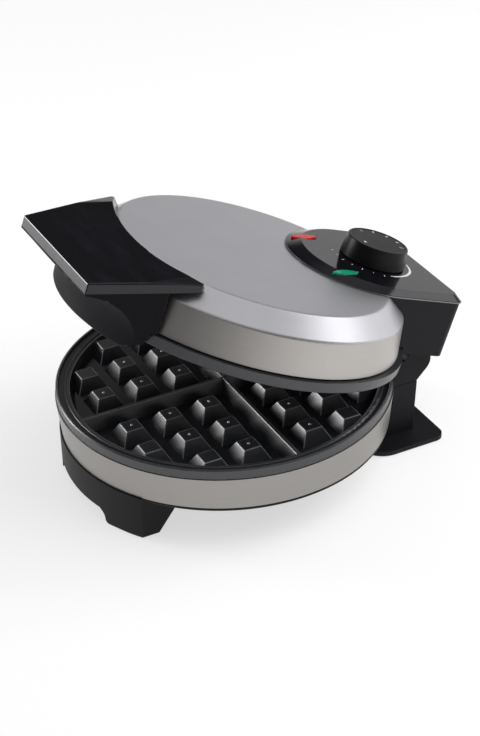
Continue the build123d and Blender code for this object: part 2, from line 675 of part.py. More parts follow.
def front_foot():
    """The curved wall, side walls and two soles of the front foot."""
    back, up = FOOT_KNEE
    side = [(-FOOT_R - MARGIN, LEDGE_Z), (FOOT_ROOT_Y, LEDGE_Z), (FOOT_SOLE_Y + back, SOLE_Z + up),
            (FOOT_SOLE_Y, SOLE_Z), (-FOOT_R - MARGIN, SOLE_Z)]
    block = prism_x(side, FOOT_HALF) & rod(FOOT_R, 0, 0, SOLE_Z, LEDGE_Z)
    inner = FOOT_R - FOOT_WALL
    half = FOOT_HALF - FOOT_WALL
    room = box(-half, half, -inner, 0, SOLE_Z + FOOT_WALL, LEDGE_Z + MARGIN)
    room &= rod(inner, 0, 0, SOLE_Z, LEDGE_Z + MARGIN)
    return block - room - arch_cutter()


def base_shell():
    """The black moulding that holds the lower half: tub, front foot, pillars and vents."""
    body = tub_outside() + front_foot()
    body -= tub_inside()
    pillar = rod(PLATE_BOSS_R, PLATE_BOSS_RING, 0, TUB_FLOOR_Z - MARGIN, -FRAME_BACK - SEAT)
    body += around(pillar, 4, 45)
    low = -TUB_DEPTH - MARGIN
    boss_top = TUB_FLOOR_Z + STAND_BOSS_RISE
    stand_boss = rod(STAND_BOSS_R, *STAND_SCREW, TUB_FLOOR_Z - MARGIN, boss_top)
    body += both_sides(stand_boss)
    hole = rod(SCREW_R + HOLE_PLAY, PLATE_BOSS_RING, 0, low, -FRAME_BACK)
    sink = rod(SCREW_HEAD_R + HOLE_PLAY, PLATE_BOSS_RING, 0, low, plate_screw_face())
    body -= around(hole + sink, 4, 45)
    stand_hole = rod(SCREW_R + RUN_PLAY, *STAND_SCREW, low, boss_top - THREAD_SPARE)
    body -= both_sides(stand_hole)
    first = -(VENT_COUNT - 1) / 2 * VENT_PITCH
    for i in range(VENT_COUNT):
        x = first + i * VENT_PITCH
        body -= box(x - VENT_WIDTH / 2, x + VENT_WIDTH / 2, -VENT_LENGTH / 2, VENT_LENGTH / 2,
                    low, TUB_FLOOR_Z + MARGIN)
    pad = rod(PAD_R + HOLE_PLAY, *FRONT_PAD, SOLE_Z - MARGIN, SOLE_Z + PAD_RECESS)
    return body - both_sides(pad)


def plate_screw_face():
    """Height of the seat under the lower plate's screw heads."""
    return -TUB_DEPTH + SCREW_HEAD + HEAD_SINK


def lower_plate_screws():
    one = screw_up(PLATE_BOSS_RING, 0, plate_screw_face(), -PLATE_BACK - TIP_DROP)
    return group(around(one, 4, 45))


def foot_pads():
    """Four rubber pads, pressed into the soles."""
    pads = []
    for x, y in (FRONT_PAD, REAR_PAD):
        one = rod(PAD_R, x, y, FLOOR_Z, FLOOR_Z + PAD_HEIGHT)
        pads += [one, mirror(one, about=Plane.YZ)]
    return group(pads)


def terminal_block():
    """Screw terminals for the supply, on the floor of the tub."""
    half = TERMINAL_BLOCK_HALF
    deep = TERMINAL_BLOCK_WIDTH / 2
    y = TERMINAL_BLOCK_Y
    top = TUB_FLOOR_Z + TERMINAL_BLOCK_HEIGHT
    block = box(-half, half, y - deep, y + deep, TUB_FLOOR_Z, top)
    for x in (-TERMINAL_PITCH, 0, TERMINAL_PITCH):
        block -= rod(TERMINAL_HOLE_R, x, y, TUB_FLOOR_Z + TERMINAL_HOLE_FLOOR, top + MARGIN)
    return block


def rear_stand():
    """The sole and hollow column that carry the hinge."""
    y_mid = (SOLE_FRONT_Y + SOLE_REAR_Y) / 2
    plan = Pos(0, y_mid, SOLE_Z) * Rectangle(2 * SOLE_HALF, SOLE_REAR_Y - SOLE_FRONT_Y)
    corners = plan.vertices().sort_by(Axis.Y)
    plan = fillet(corners[:2], SOLE_FRONT_CORNER)
    corners = plan.vertices().group_by(Axis.Y)[-1]
    plan = fillet(corners, SOLE_REAR_CORNER)
    sole = extrude(plan, SOLE_THICK)
    front = COLUMN_FRONT_Y
    column = prism_x([(front, SOLE_Z), (COLUMN_FOOT_Y, SOLE_Z), (COLUMN_FOOT_Y, SOLE_TOP_Z),
                      (COLUMN_HEAD_Y, SEAM_Z), (front, SEAM_Z)], COLUMN_HALF)
    reach = BAND_TOP_R + BODY_GAP
    column -= turned([(0, MARGIN), (reach, MARGIN), (reach, LEDGE_Z - TUB_LEDGE),
                      (TUB_FLOOR_R, -TUB_DEPTH - SEAT), (0, -TUB_DEPTH - SEAT)])
    body = sole + column
    roof = -TUB_DEPTH - SEAT - COLUMN_WALL
    half = COLUMN_HALF - COLUMN_WALL
    low = SOLE_Z - MARGIN
    room = box(-half, half, front + COLUMN_WALL, COLUMN_FOOT_Y - COLUMN_WALL, low, roof)
    body -= room
    body += both_sides(rod(STAND_BOSS_R, *STAND_SCREW, SOLE_TOP_Z, roof + MARGIN))
    shank = rod(SCREW_R + HOLE_PLAY, *STAND_SCREW, SOLE_Z, SEAM_Z)
    shank += rod(SCREW_R + HOLE_PLAY, *BLOCK_SCREW, roof - MARGIN, SEAM_Z + MARGIN)
    shank += rod(SCREW_HEAD_R + HOLE_PLAY, *STAND_SCREW, low, SOLE_TOP_Z)
    body -= both_sides(shank)
    body -= both_sides(rod(PAD_R + HOLE_PLAY, *REAR_PAD, low, SOLE_Z + PAD_RECESS))
    wall = COLUMN_FOOT_Y - COLUMN_WALL
    return body - rod_y(GLAND_R + RUN_PLAY, 0, wall - MARGIN, HINGE_Y, GLAND_Z)


def stand_screws():
    """Two screws up through the stand into the tub."""
    tip = TUB_FLOOR_Z + STAND_BOSS_RISE - 2 * THREAD_SPARE
    one = screw_up(*STAND_SCREW, SOLE_TOP_Z, tip)
    return group([one, mirror(one, about=Plane.YZ)])


def cord_gland():
    """The bush through which the supply cord enters, with its collar outside."""
    wall = COLUMN_FOOT_Y - COLUMN_WALL
    end = COLUMN_FOOT_Y + GLAND_REACH
    collar_r = GLAND_R + GLAND_COLLAR
    tube = rod_y(GLAND_R, 0, wall, end, GLAND_Z)
    lean = (COLUMN_HEAD_Y - COLUMN_FOOT_Y) / (SEAM_Z - SOLE_TOP_Z)
    face = COLUMN_FOOT_Y + lean * (GLAND_Z + collar_r - SOLE_TOP_Z) + SEAT
    collar = rod_y(collar_r, 0, face, face + GLAND_COLLAR_THICK, GLAND_Z)
    return tube + collar - rod_y(GLAND_BORE_R, 0, wall - MARGIN, end + MARGIN, GLAND_Z)


def hinge_block():
    """The piece on the column with two knuckles, between which the lid's lug turns."""
    fall = HINGE_Z - SEAM_Z
    side = HINGE_Y - COLUMN_HEAD_Y
    span = math.hypot(fall, side)
    lean = math.atan2(side, fall)
    touch = math.acos(KNUCKLE_R / span)
    angle = -math.pi / 2 - lean + touch
    tangent = (HINGE_Y + KNUCKLE_R * math.cos(angle), HINGE_Z + KNUCKLE_R * math.sin(angle))
    front = BLOCK_FRONT_Y
    top = HINGE_Z + BLOCK_RISE
    cheek = prism_x([(front, SEAM_Z), (COLUMN_HEAD_Y, SEAM_Z), tangent, (HINGE_Y, HINGE_Z),
                     (HINGE_Y, top), (front, top)], COLUMN_HALF)
    cheek += rod_x(KNUCKLE_R, -COLUMN_HALF, COLUMN_HALF, HINGE_Y, HINGE_Z)
    high = HINGE_Z + KNUCKLE_R + MARGIN
    behind = HINGE_Y + KNUCKLE_R + MARGIN
    cheek -= rod(PLATE_R + BLOCK_GAP, 0, 0, SEAM_Z - MARGIN, high)
    inner = KNUCKLE_INNER
    cheek -= rod_x(LUG_R + LUG_RUN, -inner, inner, HINGE_Y, HINGE_Z)
    cheek -= box(-inner, inner, front, HINGE_Y, HINGE_Z, high)
    cheek -= box(-inner, inner, COLUMN_HEAD_Y, behind, SEAM_Z, high)
    cheek -= rod_x(PIN_R + RUN_PLAY, -COLUMN_HALF, pin_end() + PIN_END_PLAY, HINGE_Y, HINGE_Z)
    hole = rod(SCREW_R + RUN_PLAY, *BLOCK_SCREW, SEAM_Z, SEAM_Z + BLOCK_SCREW_DEPTH)
    return cheek - both_sides(hole)


def block_screws():
    face = -TUB_DEPTH - SEAT - COLUMN_WALL
    one = screw_up(*BLOCK_SCREW, face, SEAM_Z + BLOCK_SCREW_DEPTH - THREAD_SPARE)
    return group([one, mirror(one, about=Plane.YZ)])


def pin_end():
    """How far the hinge pin reaches into the blind knuckle."""
    return COLUMN_HALF - PIN_WALL


def hinge_pin():
    return rod_x(PIN_R, -COLUMN_HALF, pin_end(), HINGE_Y, HINGE_Z)


# Lid

def moved_outline(points, out):
    """An open (radius, height) outline moved outwards by a distance, corners kept sharp."""
    lines = []
    for (r0, h0), (r1, h1) in zip(points, points[1:]):
        length = math.hypot(r1 - r0, h1 - h0)
        nr, nh = (h1 - h0) / length, -(r1 - r0) / length
        lines.append((nr, nh, nr * r0 + nh * h0 + out))
    lines = [(0, 1, points[0][1])] + lines + [(1, 0, 0)]
    moved = []
    for (a, b, c), (d, e, f) in zip(lines, lines[1:]):
        det = a * e - b * d
        moved.append(((c * e - b * f) / det, (a * f - c * d) / det))
    return moved


def dome_solid(out, foot_h=DOME_FOOT_H):
    """The dome as a filled form, grown by a distance, with its two soft edges."""
    outline = [(DOME_FOOT_R, DOME_FOOT_H), (DOME_CREST_R, DOME_CREST_H),
               (DOME_TOP_R, DOME_TOP_H), (0, DOME_TOP_H)]
    points = moved_outline(outline, out)
    points[0] = (points[0][0], foot_h)
    outline = Polyline([(r, 0, h) for r, h in [*points, (0, foot_h)]], close=True)
    face = make_face(outline.edges())
    by_height = face.vertices().sort_by(Axis.Z)
    shoulder = by_height[-3:].sort_by(Axis.X)[-2:]
    face = fillet(shoulder, DOME_ROUND + out)
    return revolve(face, Axis.Z, 360)


def lid_shell():
    """The stainless dome, open below and cut away under the control panel."""
    shell = dome_solid(0) - dome_solid(-DOME_SHEET, DOME_FOOT_H - MARGIN)
    lip_out = DOME_FOOT_R - DOME_SHEET / 2
    lip = rod(lip_out, 0, 0, DOME_FOOT_H, DOME_FOOT_H + DOME_SHEET)
    shell += lip - rod(DOME_FOOT_R - DOME_LIP, 0, 0, DOME_FOOT_H, DOME_FOOT_H + DOME_SHEET)
    high = DOME_TOP_H + MARGIN
    sill = DOME_FOOT_H + WINDOW_SILL
    shell -= box(-WINDOW_HALF, WINDOW_HALF, KNOB_Y - WINDOW_INSET, DOME_FOOT_R + MARGIN, sill, high)
    for x in (-LENS_X, LENS_X):
        shell -= rod(LAMP_R + LAMP_HOLE, x, LENS_Y, DOME_TOP_H - DOME_SHEET - MARGIN, high)
    hole = rod_y(SCREW_R + HOLE_PLAY, LID_SCREW_X, -DOME_FOOT_R, -TAB_Y, LID_SCREW_H)
    rear_r = SCREW_R + SCREW_WALL + 2 * HOLE_PLAY
    rear = rod_y(rear_r, REAR_SCREW_X, rear_tab_y(), DOME_FOOT_R, LID_SCREW_H)
    return shell - both_sides(hole) - both_sides(rear)


def rear_tab_y():
    return math.sqrt(TAB_Y ** 2 - (REAR_SCREW_X + REAR_TAB_HALF) ** 2) - REAR_TAB_GAP


def lid_frame():
    """A steel ring on the upper plate's bosses, with tabs that the housings are screwed to."""
    top = LID_SCREW_BACK
    ring = rod(FRAME_OUTER_R, 0, 0, FRAME_BACK, top) - rod(FRAME_INNER_R, 0, 0, FRAME_BACK, top)
    ring -= box(-WINDOW_HALF, WINDOW_HALF, 0, FRAME_OUTER_R + MARGIN, FRAME_BACK, top)
    ring += box(-TAB_HALF, TAB_HALF, -TAB_Y, -FRAME_OUTER_R + TAB_ROOT, FRAME_BACK, top)
    ring += box(-TAB_HALF, TAB_HALF, -TAB_Y, -TAB_Y + FRAME_SHEET, top - TAB_DROP, top)
    x = REAR_SCREW_X
    y = rear_tab_y()
    ring += both_sides(box(x - REAR_TAB_HALF, x + REAR_TAB_HALF, y - FRAME_SHEET, y, top - TAB_DROP, top))
    hole = rod(SCREW_R + HOLE_PLAY, PLATE_BOSS_RING, 0, FRAME_BACK, top)
    tap = SCREW_R + HOLE_PLAY
    reach = FRAME_SHEET + MARGIN
    front = rod_y(tap, LID_SCREW_X, -TAB_Y - reach, -TAB_Y + reach, LID_SCREW_H)
    rear = rod_y(tap, x, y - reach, y + reach, LID_SCREW_H)
    return ring - around(hole, 4, 45) - both_sides(front) - both_sides(rear)


def upper_plate_screws():
    one = screw_up(PLATE_BOSS_RING, 0, LID_SCREW_BACK, PLATE_BACK + TIP_DROP)
    return group(around(one, 4, 45))


# Handle and front housing

def side_x(y):
    """Half width of the handle and the front housing at a given y."""
    lean = (HANDLE_TIP_HALF - HANDLE_FRONT_HALF) / (HANDLE_TIP_Y - HANDLE_FRONT_Y)
    return HANDLE_FRONT_HALF + lean * (y - HANDLE_FRONT_Y)


def handle_plan(inset, front_y, z0, z1):
    """The handle's tapered plan between two heights, drawn in by a distance on each side."""
    wing, back = HANDLE_WING
    plan = Polyline((-side_x(front_y) + inset, front_y, z0), (side_x(front_y) - inset, front_y, z0),
                    (HANDLE_TIP_HALF - inset, HANDLE_TIP_Y, z0),
                    (HANDLE_TIP_HALF - inset - wing, HANDLE_TIP_Y + back, z0),
                    (-HANDLE_TIP_HALF + inset + wing, HANDLE_TIP_Y + back, z0),
                    (-HANDLE_TIP_HALF + inset, HANDLE_TIP_Y, z0), close=True)
    return extrude(make_face(plan.edges()), z1 - z0)


def top_h(y):
    """Height of the handle's sloping top."""
    return HANDLE_FRONT_H + HANDLE_SLOPE * (y - HANDLE_FRONT_Y)


def below_slope(drop):
    """Everything below a plane parallel to the handle's top."""
    y0 = HANDLE_FRONT_Y - MARGIN
    y1 = 0
    low = -SKIRT_DROP - MARGIN
    half = HANDLE_TIP_HALF + MARGIN
    return prism_x([(y0, low), (y1, low), (y1, top_h(y1) - drop), (y0, top_h(y0) - drop)], half)


def arc_cutter():
    """The bevelled concave edge that the disc shows through."""
    reach = ARC_REACH
    ramp = HANDLE_BEVEL / HANDLE_BEVEL_DEPTH * reach
    middle = HANDLE_ARC_R - HANDLE_BEVEL
    return Pos(0, HANDLE_ARC_Y, DOME_TOP_H) * Cone(middle - ramp, middle + ramp, 2 * reach)


def wing_facet():
    """Cutter for the shallow facet beside the top of one wing."""
    start = HANDLE_FRONT_Y + WING_FACET_START
    first = Vector(side_x(start), start, top_h(start))
    second = Vector(HANDLE_TIP_HALF - WING_FACET_IN, HANDLE_TIP_Y, top_h(HANDLE_TIP_Y))
    third = Vector(HANDLE_TIP_HALF, HANDLE_TIP_Y, top_h(HANDLE_TIP_Y) - WING_FACET_FALL)
    along = second - first
    plane = Plane(origin=second, x_dir=along, z_dir=(third - first).cross(along))
    return extrude(plane * Rectangle(2 * HANDLE_LENGTH, 2 * HANDLE_TIP_HALF), HANDLE_THICK)


def handle_cover():
    """The glossy top of the handle, a sloping slab whose wings reach over the dome."""
    slab = handle_plan(0, HANDLE_FRONT_Y, -SKIRT_DROP, above_handle()) & below_slope(0)
    slab -= arc_cutter()
    top_face = slab.faces().filter_by(GeomType.PLANE).sort_by(Axis.Z)[-1]
    top_edges = top_face.edges().filter_by(GeomType.LINE)
    corners = slab.edges().filter_by(Axis.Z).group_by(Axis.Y)[0]
    long_edges = [edge for edge in top_edges if edge.length > HANDLE_LENGTH / 2]
    slab = fillet(long_edges + corners, HANDLE_ROUND)
    slab -= both_sides(wing_facet())
    slab -= below_slope(HANDLE_THICK)
    slab -= dome_solid(SEAT, -SKIRT_DROP)
    lug_y = cover_lug_y()
    half = LID_SCREW_X + LUG_SIDE
    top = above_handle()
    lug = box(-half, half, -SKIRT_R, lug_y, LID_SCREW_H - LUG_SIDE, top)
    lug &= below_slope(HANDLE_THICK - MARGIN)
    slab += lug & rod(SKIRT_R - HOUSING_WALL - BODY_GAP, 0, 0, 0, top)
    end = lug_y - COVER_SCREW - PIN_END_PLAY
    bore = rod_y(SCREW_R + RUN_PLAY, LID_SCREW_X, end, lug_y + MARGIN, LID_SCREW_H)
    return slab - both_sides(bore)


def above_handle():
    """A height above all of the handle."""
    return top_h(0) + MARGIN


def pad_front_y():
    """Front of the housing's mounting wall, which stands against the dome."""
    return -(DOME_FOOT_R + MOUNT_WALL)


def cover_lug_y():
    return pad_front_y() - SEAT


def cove_solid(inset, z0, z1):
    """The skirt's round form with the hollow curve that runs out under the handle."""
    foot_r = SKIRT_R - inset
    out_r = SKIRT_R + COVE_R
    level = COVE_R + inset - COVE_DROP
    far = HANDLE_REACH + SKIRT_R + HANDLE_TIP_HALF
    reach = (COVE_R + inset) * math.sqrt(0.5)
    outline = [Line((0, 0, z0), (foot_r, 0, z0)), Line((foot_r, 0, z0), (foot_r, 0, -COVE_DROP)),
               ThreePointArc((foot_r, 0, -COVE_DROP), (out_r - reach, 0, reach - COVE_DROP),
                             (out_r, 0, level)),
               Line((out_r, 0, level), (far, 0, level)), Line((far, 0, level), (far, 0, z1)),
               Line((far, 0, z1), (0, 0, z1)), Line((0, 0, z1), (0, 0, z0))]
    return revolve(make_face(outline), Axis.Z, 360)


def front_housing():
    """The black housing under the handle: hollow curve, skirt, side walls and mounting wall."""
    low = -SKIRT_DROP
    top = above_handle()
    core = dome_solid(SEAT, DOME_FOOT_H - SEAT)
    core += rod(SKIRT_CLEAR_R, 0, 0, low - MARGIN, DOME_FOOT_H - SEAT)
    skirt = handle_plan(0, HANDLE_FRONT_Y, low, top) & below_slope(HANDLE_THICK + SEAT)
    skirt &= cove_solid(0, low, top)
    skirt -= core
    skirt -= skirt_corners()
    skirt -= box(-SKIRT_R, SKIRT_R, HANDLE_TIP_Y - SKIRT_END, SKIRT_R, low - MARGIN, top)
    floor = low + HOUSING_WALL
    inner = handle_plan(HOUSING_WALL, HANDLE_FRONT_Y, floor, top)
    inner &= cove_solid(HOUSING_WALL, floor, top)
    half = LID_SCREW_X + LUG_SIDE + BODY_GAP
    rib_foot = DOME_FOOT_H + RIB
    wall = box(-half - RIB, half + RIB, pad_front_y(), 0, rib_foot, top)
    wall += both_sides(box(half, half + RIB, HANDLE_FRONT_Y, 0, rib_foot, top))
    skirt -= inner - wall
    hole = rod_y(SCREW_R + HOLE_PLAY, LID_SCREW_X, pad_front_y() - MARGIN, -TAB_Y, LID_SCREW_H)
    return skirt - both_sides(hole)


def skirt_corners():
    """Cutter that rounds the lower corners of the skirt."""
    r = SKIRT_CORNER
    half = side_x(-SKIRT_R + SKIRT_CORNER_Y)
    low = -SKIRT_DROP
    rear = HANDLE_TIP_Y + MARGIN
    corner = box(half - r, half + r, HANDLE_FRONT_Y, rear, low - MARGIN, low + r)
    corner -= rod_y(r, half - r, HANDLE_FRONT_Y, rear, low + r)
    return both_sides(corner)


def handle_screws():
    """Two screws from inside the dome through the housing into the handle's lug."""
    inside = -TAB_Y + FRAME_SHEET
    shank = rod_y(SCREW_R, LID_SCREW_X, cover_lug_y() - COVER_SCREW, inside, LID_SCREW_H)
    head = rod_y(SCREW_HEAD_R, LID_SCREW_X, inside, inside + SCREW_HEAD, LID_SCREW_H)
    one = shank + head
    return group([one, mirror(one, about=Plane.YZ)])


# Rear housing, panel and controls

def rear_plan(half, rear_y, corner, z0, z1):
    """A block with rounded rear corners, from the box's front back to rear_y."""
    y_mid = (BOX_FRONT_Y + rear_y) / 2
    plan = Pos(0, y_mid, z0) * Rectangle(2 * half, rear_y - BOX_FRONT_Y)
    plan = fillet(plan.vertices().group_by(Axis.Y)[-1], corner)
    return extrude(plan, z1 - z0)


def rear_housing():
    """The black box behind the dome, with the lug that hangs on the hinge pin."""
    top = PANEL_FOOT_H - 2 * SEAT - TRIM_HEIGHT
    wall = HOUSING_WALL
    body = rear_plan(BOX_HALF, BOX_REAR_Y, BOX_CORNER, BOX_FLOOR_H, top)
    body -= rear_plan(BOX_HALF - wall, BOX_REAR_Y - wall, BOX_CORNER - wall,
                      BOX_FLOOR_H + BOX_FLOOR, top + MARGIN)
    lug = rod_x(LUG_R, -LUG_HALF, LUG_HALF, HINGE_Y, HINGE_H)
    root = BOX_FLOOR_H + MARGIN
    lug += box(-LUG_HALF, LUG_HALF, HINGE_Y - LUG_R, HINGE_Y + LUG_R, HINGE_H, root)
    body += lug
    boss_y = rear_tab_y() + SEAT
    x = REAR_SCREW_X
    boss = rod_y(SCREW_R + SCREW_WALL, x, boss_y, BOX_REAR_Y - MARGIN, LID_SCREW_H)
    under = DOME_FOOT_H - SEAT
    body -= dome_solid(BOX_DOME_GAP, under)
    body -= rod(UPPER_PLATE_R + BOX_GAP, 0, 0, HINGE_H - LUG_R, under)
    body += both_sides(boss)
    body -= both_sides(rod_y(SCREW_R + RUN_PLAY, x, boss_y, boss_y + BOX_SCREW_DEPTH, LID_SCREW_H))
    pocket_r = KNUCKLE_R + BODY_GAP
    pocket = rod_x(pocket_r, LUG_HALF, COLUMN_HALF + BODY_GAP, HINGE_Y, HINGE_H)
    body -= both_sides(pocket)
    return body - rod_x(PIN_R + RUN_PLAY, -LUG_HALF, LUG_HALF, HINGE_Y, HINGE_H)


def housing_screws():
    inside = rear_tab_y() - FRAME_SHEET
    x = REAR_SCREW_X
    tip = rear_tab_y() + SEAT + BOX_SCREW_DEPTH - SCREW_END_ROOM
    one = rod_y(SCREW_R, x, inside, tip, LID_SCREW_H)
    one += rod_y(SCREW_HEAD_R, x, inside - SCREW_HEAD, inside, LID_SCREW_H)
    return group([one, mirror(one, about=Plane.YZ)])


def panel_face(half, centre_y, rear_y, corner, h):
    """A plan with a round front and rounded rear corners, at a height."""
    outline = [Line((half, centre_y, h), (half, rear_y - corner, h)),
               RadiusArc((half, rear_y - corner, h), (half - corner, rear_y, h), -corner),
               Line((half - corner, rear_y, h), (-half + corner, rear_y, h)),
               RadiusArc((-half + corner, rear_y, h), (-half, rear_y - corner, h), -corner),
               Line((-half, rear_y - corner, h), (-half, centre_y, h)),
               ThreePointArc((-half, centre_y, h), (0, centre_y - half, h), (half, centre_y, h))]
    return make_face(outline)


def panel_form(inset, foot_h, top_h):
    """The panel's tapered form, drawn in by a distance."""
    foot = panel_face(BOX_HALF - inset, PANEL_FOOT_CENTRE_Y, PANEL_REAR_Y - inset, BOX_CORNER, foot_h)
    top = panel_face(PANEL_TOP_HALF - inset, PANEL_TOP_CENTRE_Y, PANEL_TOP_REAR_Y - inset,
                     BOX_CORNER - MARGIN, top_h)
    return loft([foot, top], ruled=True)


def lens_plan(x, grow, h):
    """A pointed ellipse from two arcs."""
    half_l = LENS_LENGTH / 2 + grow
    half_w = LENS_WIDTH / 2 + grow
    front, rear = (x, LENS_Y - half_l, h), (x, LENS_Y + half_l, h)
    right = ThreePointArc(front, (x + half_w, LENS_Y, h), rear)
    left = ThreePointArc(rear, (x - half_w, LENS_Y, h), front)
    return make_face([right, left])


def panel_trim():
    """The thin bright ring that the panel stands on."""
    foot_h = PANEL_FOOT_H - SEAT - TRIM_HEIGHT
    p = TRIM_PROUD
    outer = panel_face(BOX_HALF + p, PANEL_FOOT_CENTRE_Y, PANEL_REAR_Y + p, BOX_CORNER + p, foot_h)
    q = PANEL_SHEET + MARGIN
    inner = panel_face(BOX_HALF - q, PANEL_FOOT_CENTRE_Y, PANEL_REAR_Y - q, BOX_CORNER - q, foot_h)
    return extrude(outer, TRIM_HEIGHT) - extrude(inner, TRIM_HEIGHT)


def control_panel():
    """The glossy cover with its wide front bevel, hollow below."""
    body = panel_form(0, PANEL_FOOT_H, PANEL_TOP_H)
    body -= panel_form(PANEL_SHEET + PANEL_EDGE, PANEL_FOOT_H - 0.01, PANEL_TOP_H - PANEL_SHEET)
    body -= rod(SHAFT_R + SHAFT_GAP, 0, KNOB_Y, PANEL_FOOT_H, PANEL_TOP_H + MARGIN)
    for x in (-LENS_X, LENS_X):
        body -= extrude(lens_plan(x, SEAT, PANEL_FOOT_H - MARGIN), PANEL_RISE + 2 * MARGIN)
    return body


def lens(x):
    """A pilot light's lens, a pointed ellipse that stands proud of the panel's edge."""
    foot_h = PANEL_FOOT_H + SEAT
    body = extrude(lens_plan(x, 0, foot_h), LENS_TOP_H - foot_h)
    front, rear = LENS_Y - LENS_LENGTH / 2, LENS_Y + LENS_LENGTH / 2
    high = LENS_TOP_H + MARGIN
    front, rear = front - MARGIN, rear + MARGIN
    above = prism_x([(front, LENS_FRONT_H), (rear, LENS_TOP_H), (rear, high), (front, high)], BOX_HALF)
    return body - above - rod(LAMP_R + LENS_PLAY, x, LENS_Y, foot_h, LAMP_TOP_H + LENS_ROOF_PLAY)


def red_lens():
    return lens(-LENS_X)


def green_lens():
    return lens(LENS_X)


def pilot_lamps():
    """Two neon lamps that reach up into the lenses."""
    return group([rod(LAMP_R, x, LENS_Y, LAMP_BOTTOM_H, LAMP_TOP_H) for x in (-LENS_X, LENS_X)])


def lamp_holders():
    """Sleeves under the disc that hold the lamps."""
    top = DOME_TOP_H - DOME_SHEET - SEAT
    holders = []
    for x in (-LENS_X, LENS_X):
        sleeve = rod(LAMP_HOLDER_R, x, LENS_Y, LAMP_BOTTOM_H + MARGIN, top)
        holders.append(sleeve - rod(LAMP_R + RUN_PLAY, x, LENS_Y, LAMP_BOTTOM_H, top + MARGIN))
    return group(holders)


def bracket_top():
    return PLATE_BACK + RUN_PLAY + BRACKET_SHEET


def thermostat_bracket():
    """A strip on the back of the upper plate that carries the thermostat."""
    rear = KNOB_Y + THERMOSTAT_WIDTH / 2
    strip = box(-BRACKET_HALF, BRACKET_HALF, BRACKET_FRONT_Y, rear, PLATE_BACK + RUN_PLAY, bracket_top())
    y = BRACKET_FRONT_Y + BRACKET_SCREW
    return strip - rod(SMALL_SCREW_R + HOLE_PLAY, 0, y, PLATE_BACK, bracket_top() + MARGIN)


def thermostat_screw():
    tip = PLATE_BACK - BRACKET_SCREW_DEPTH + THREAD_SPARE
    return small_screw(0, BRACKET_FRONT_Y + BRACKET_SCREW, bracket_top(), tip)


def thermostat():
    """The switch body with its threaded bush."""
    half = THERMOSTAT_WIDTH / 2
    low = bracket_top() + RUN_PLAY
    top = low + THERMOSTAT_HEIGHT
    body = box(-half, half, KNOB_Y - half, KNOB_Y + half, low, top)
    body += rod(THERMOSTAT_BUSH_R, 0, KNOB_Y, top - MARGIN, THERMOSTAT_BUSH_TOP_H)
    bore = rod(SHAFT_R + RUN_PLAY, 0, KNOB_Y, low + THERMOSTAT_FLOOR, THERMOSTAT_BUSH_TOP_H + MARGIN)
    return body - bore


def shaft_section(grow):
    """A round bar with a flat on one side."""
    full = Circle(SHAFT_R + grow)
    flat = Pos(0, SHAFT_R + grow) * Rectangle(4 * SHAFT_R, 2 * (SHAFT_FLAT))
    return full - flat


def thermostat_shaft():
    """The spindle, round in its bush and flattened in the knob."""
    low = bracket_top() + RUN_PLAY + THERMOSTAT_FLOOR + BODY_GAP
    split = KNOB_FOOT_H + SHAFT_COLLAR
    top = KNOB_TOP_H - SHAFT_TOP
    upper = Pos(0, KNOB_Y, split) * extrude(shaft_section(0), top - split)
    return rod(SHAFT_R, 0, KNOB_Y, low, split) + upper


def control_knob():
    """The hollow knob, with a hub on the spindle's flat and a seat for its cap."""
    height = KNOB_TOP_H - KNOB_FOOT_H
    middle = (KNOB_TOP_H + KNOB_FOOT_H) / 2
    body = Pos(0, KNOB_Y, middle) * Cone(KNOB_FOOT_R, KNOB_TOP_R, height)
    body = fillet(body.edges().sort_by(Axis.Z)[-1], KNOB_ROUND)
    low = KNOB_FOOT_H - MARGIN
    roof = KNOB_TOP_H - KNOB_CAP - KNOB_WALL
    room = rod(KNOB_TOP_R - KNOB_WALL, 0, KNOB_Y, low, roof)
    body -= room - rod(KNOB_HUB_R, 0, KNOB_Y, low, roof)
    bore_top = KNOB_TOP_H - SHAFT_TOP + HOLE_PLAY
    body -= Pos(0, KNOB_Y, low) * extrude(shaft_section(RUN_PLAY), bore_top - low)
    body -= rod(SHAFT_R + RUN_PLAY, 0, KNOB_Y, low, KNOB_FOOT_H + SHAFT_COLLAR + BODY_GAP)
    return body - rod(KNOB_CAP_R + RUN_PLAY, 0, KNOB_Y, KNOB_TOP_H - KNOB_CAP, KNOB_TOP_H + MARGIN)


def knob_cap():
    """The flat inlay on top of the knob."""
    return rod(KNOB_CAP_R, 0, KNOB_Y, KNOB_TOP_H - KNOB_CAP, KNOB_TOP_H - KNOB_CAP_SINK)


BASE_PIECES = {
    "base_shell": base_shell,
    "lower_band": lower_band,
    "lower_plate": lower_plate,
    "lower_heating_element": heating_element,
    "lower_element_clamps": element_clamps,
    "lower_clamp_screws": clamp_screws,
    "lower_heat_shield": heat_shield,
    "lower_plate_screws": lower_plate_screws,
    "thermal_fuse": thermal_fuse,
    "fuse_clamp": fuse_clamp,
    "fuse_clamp_screws": fuse_screws,
    "terminal_block": terminal_block,
    "foot_pads": foot_pads,
    "rear_stand": rear_stand,
    "rear_stand_screws": stand_screws,
    "cord_gland": cord_gland,
    "hinge_block": hinge_block,
    "hinge_block_screws": block_screws,
    "hinge_pin": hinge_pin,
}

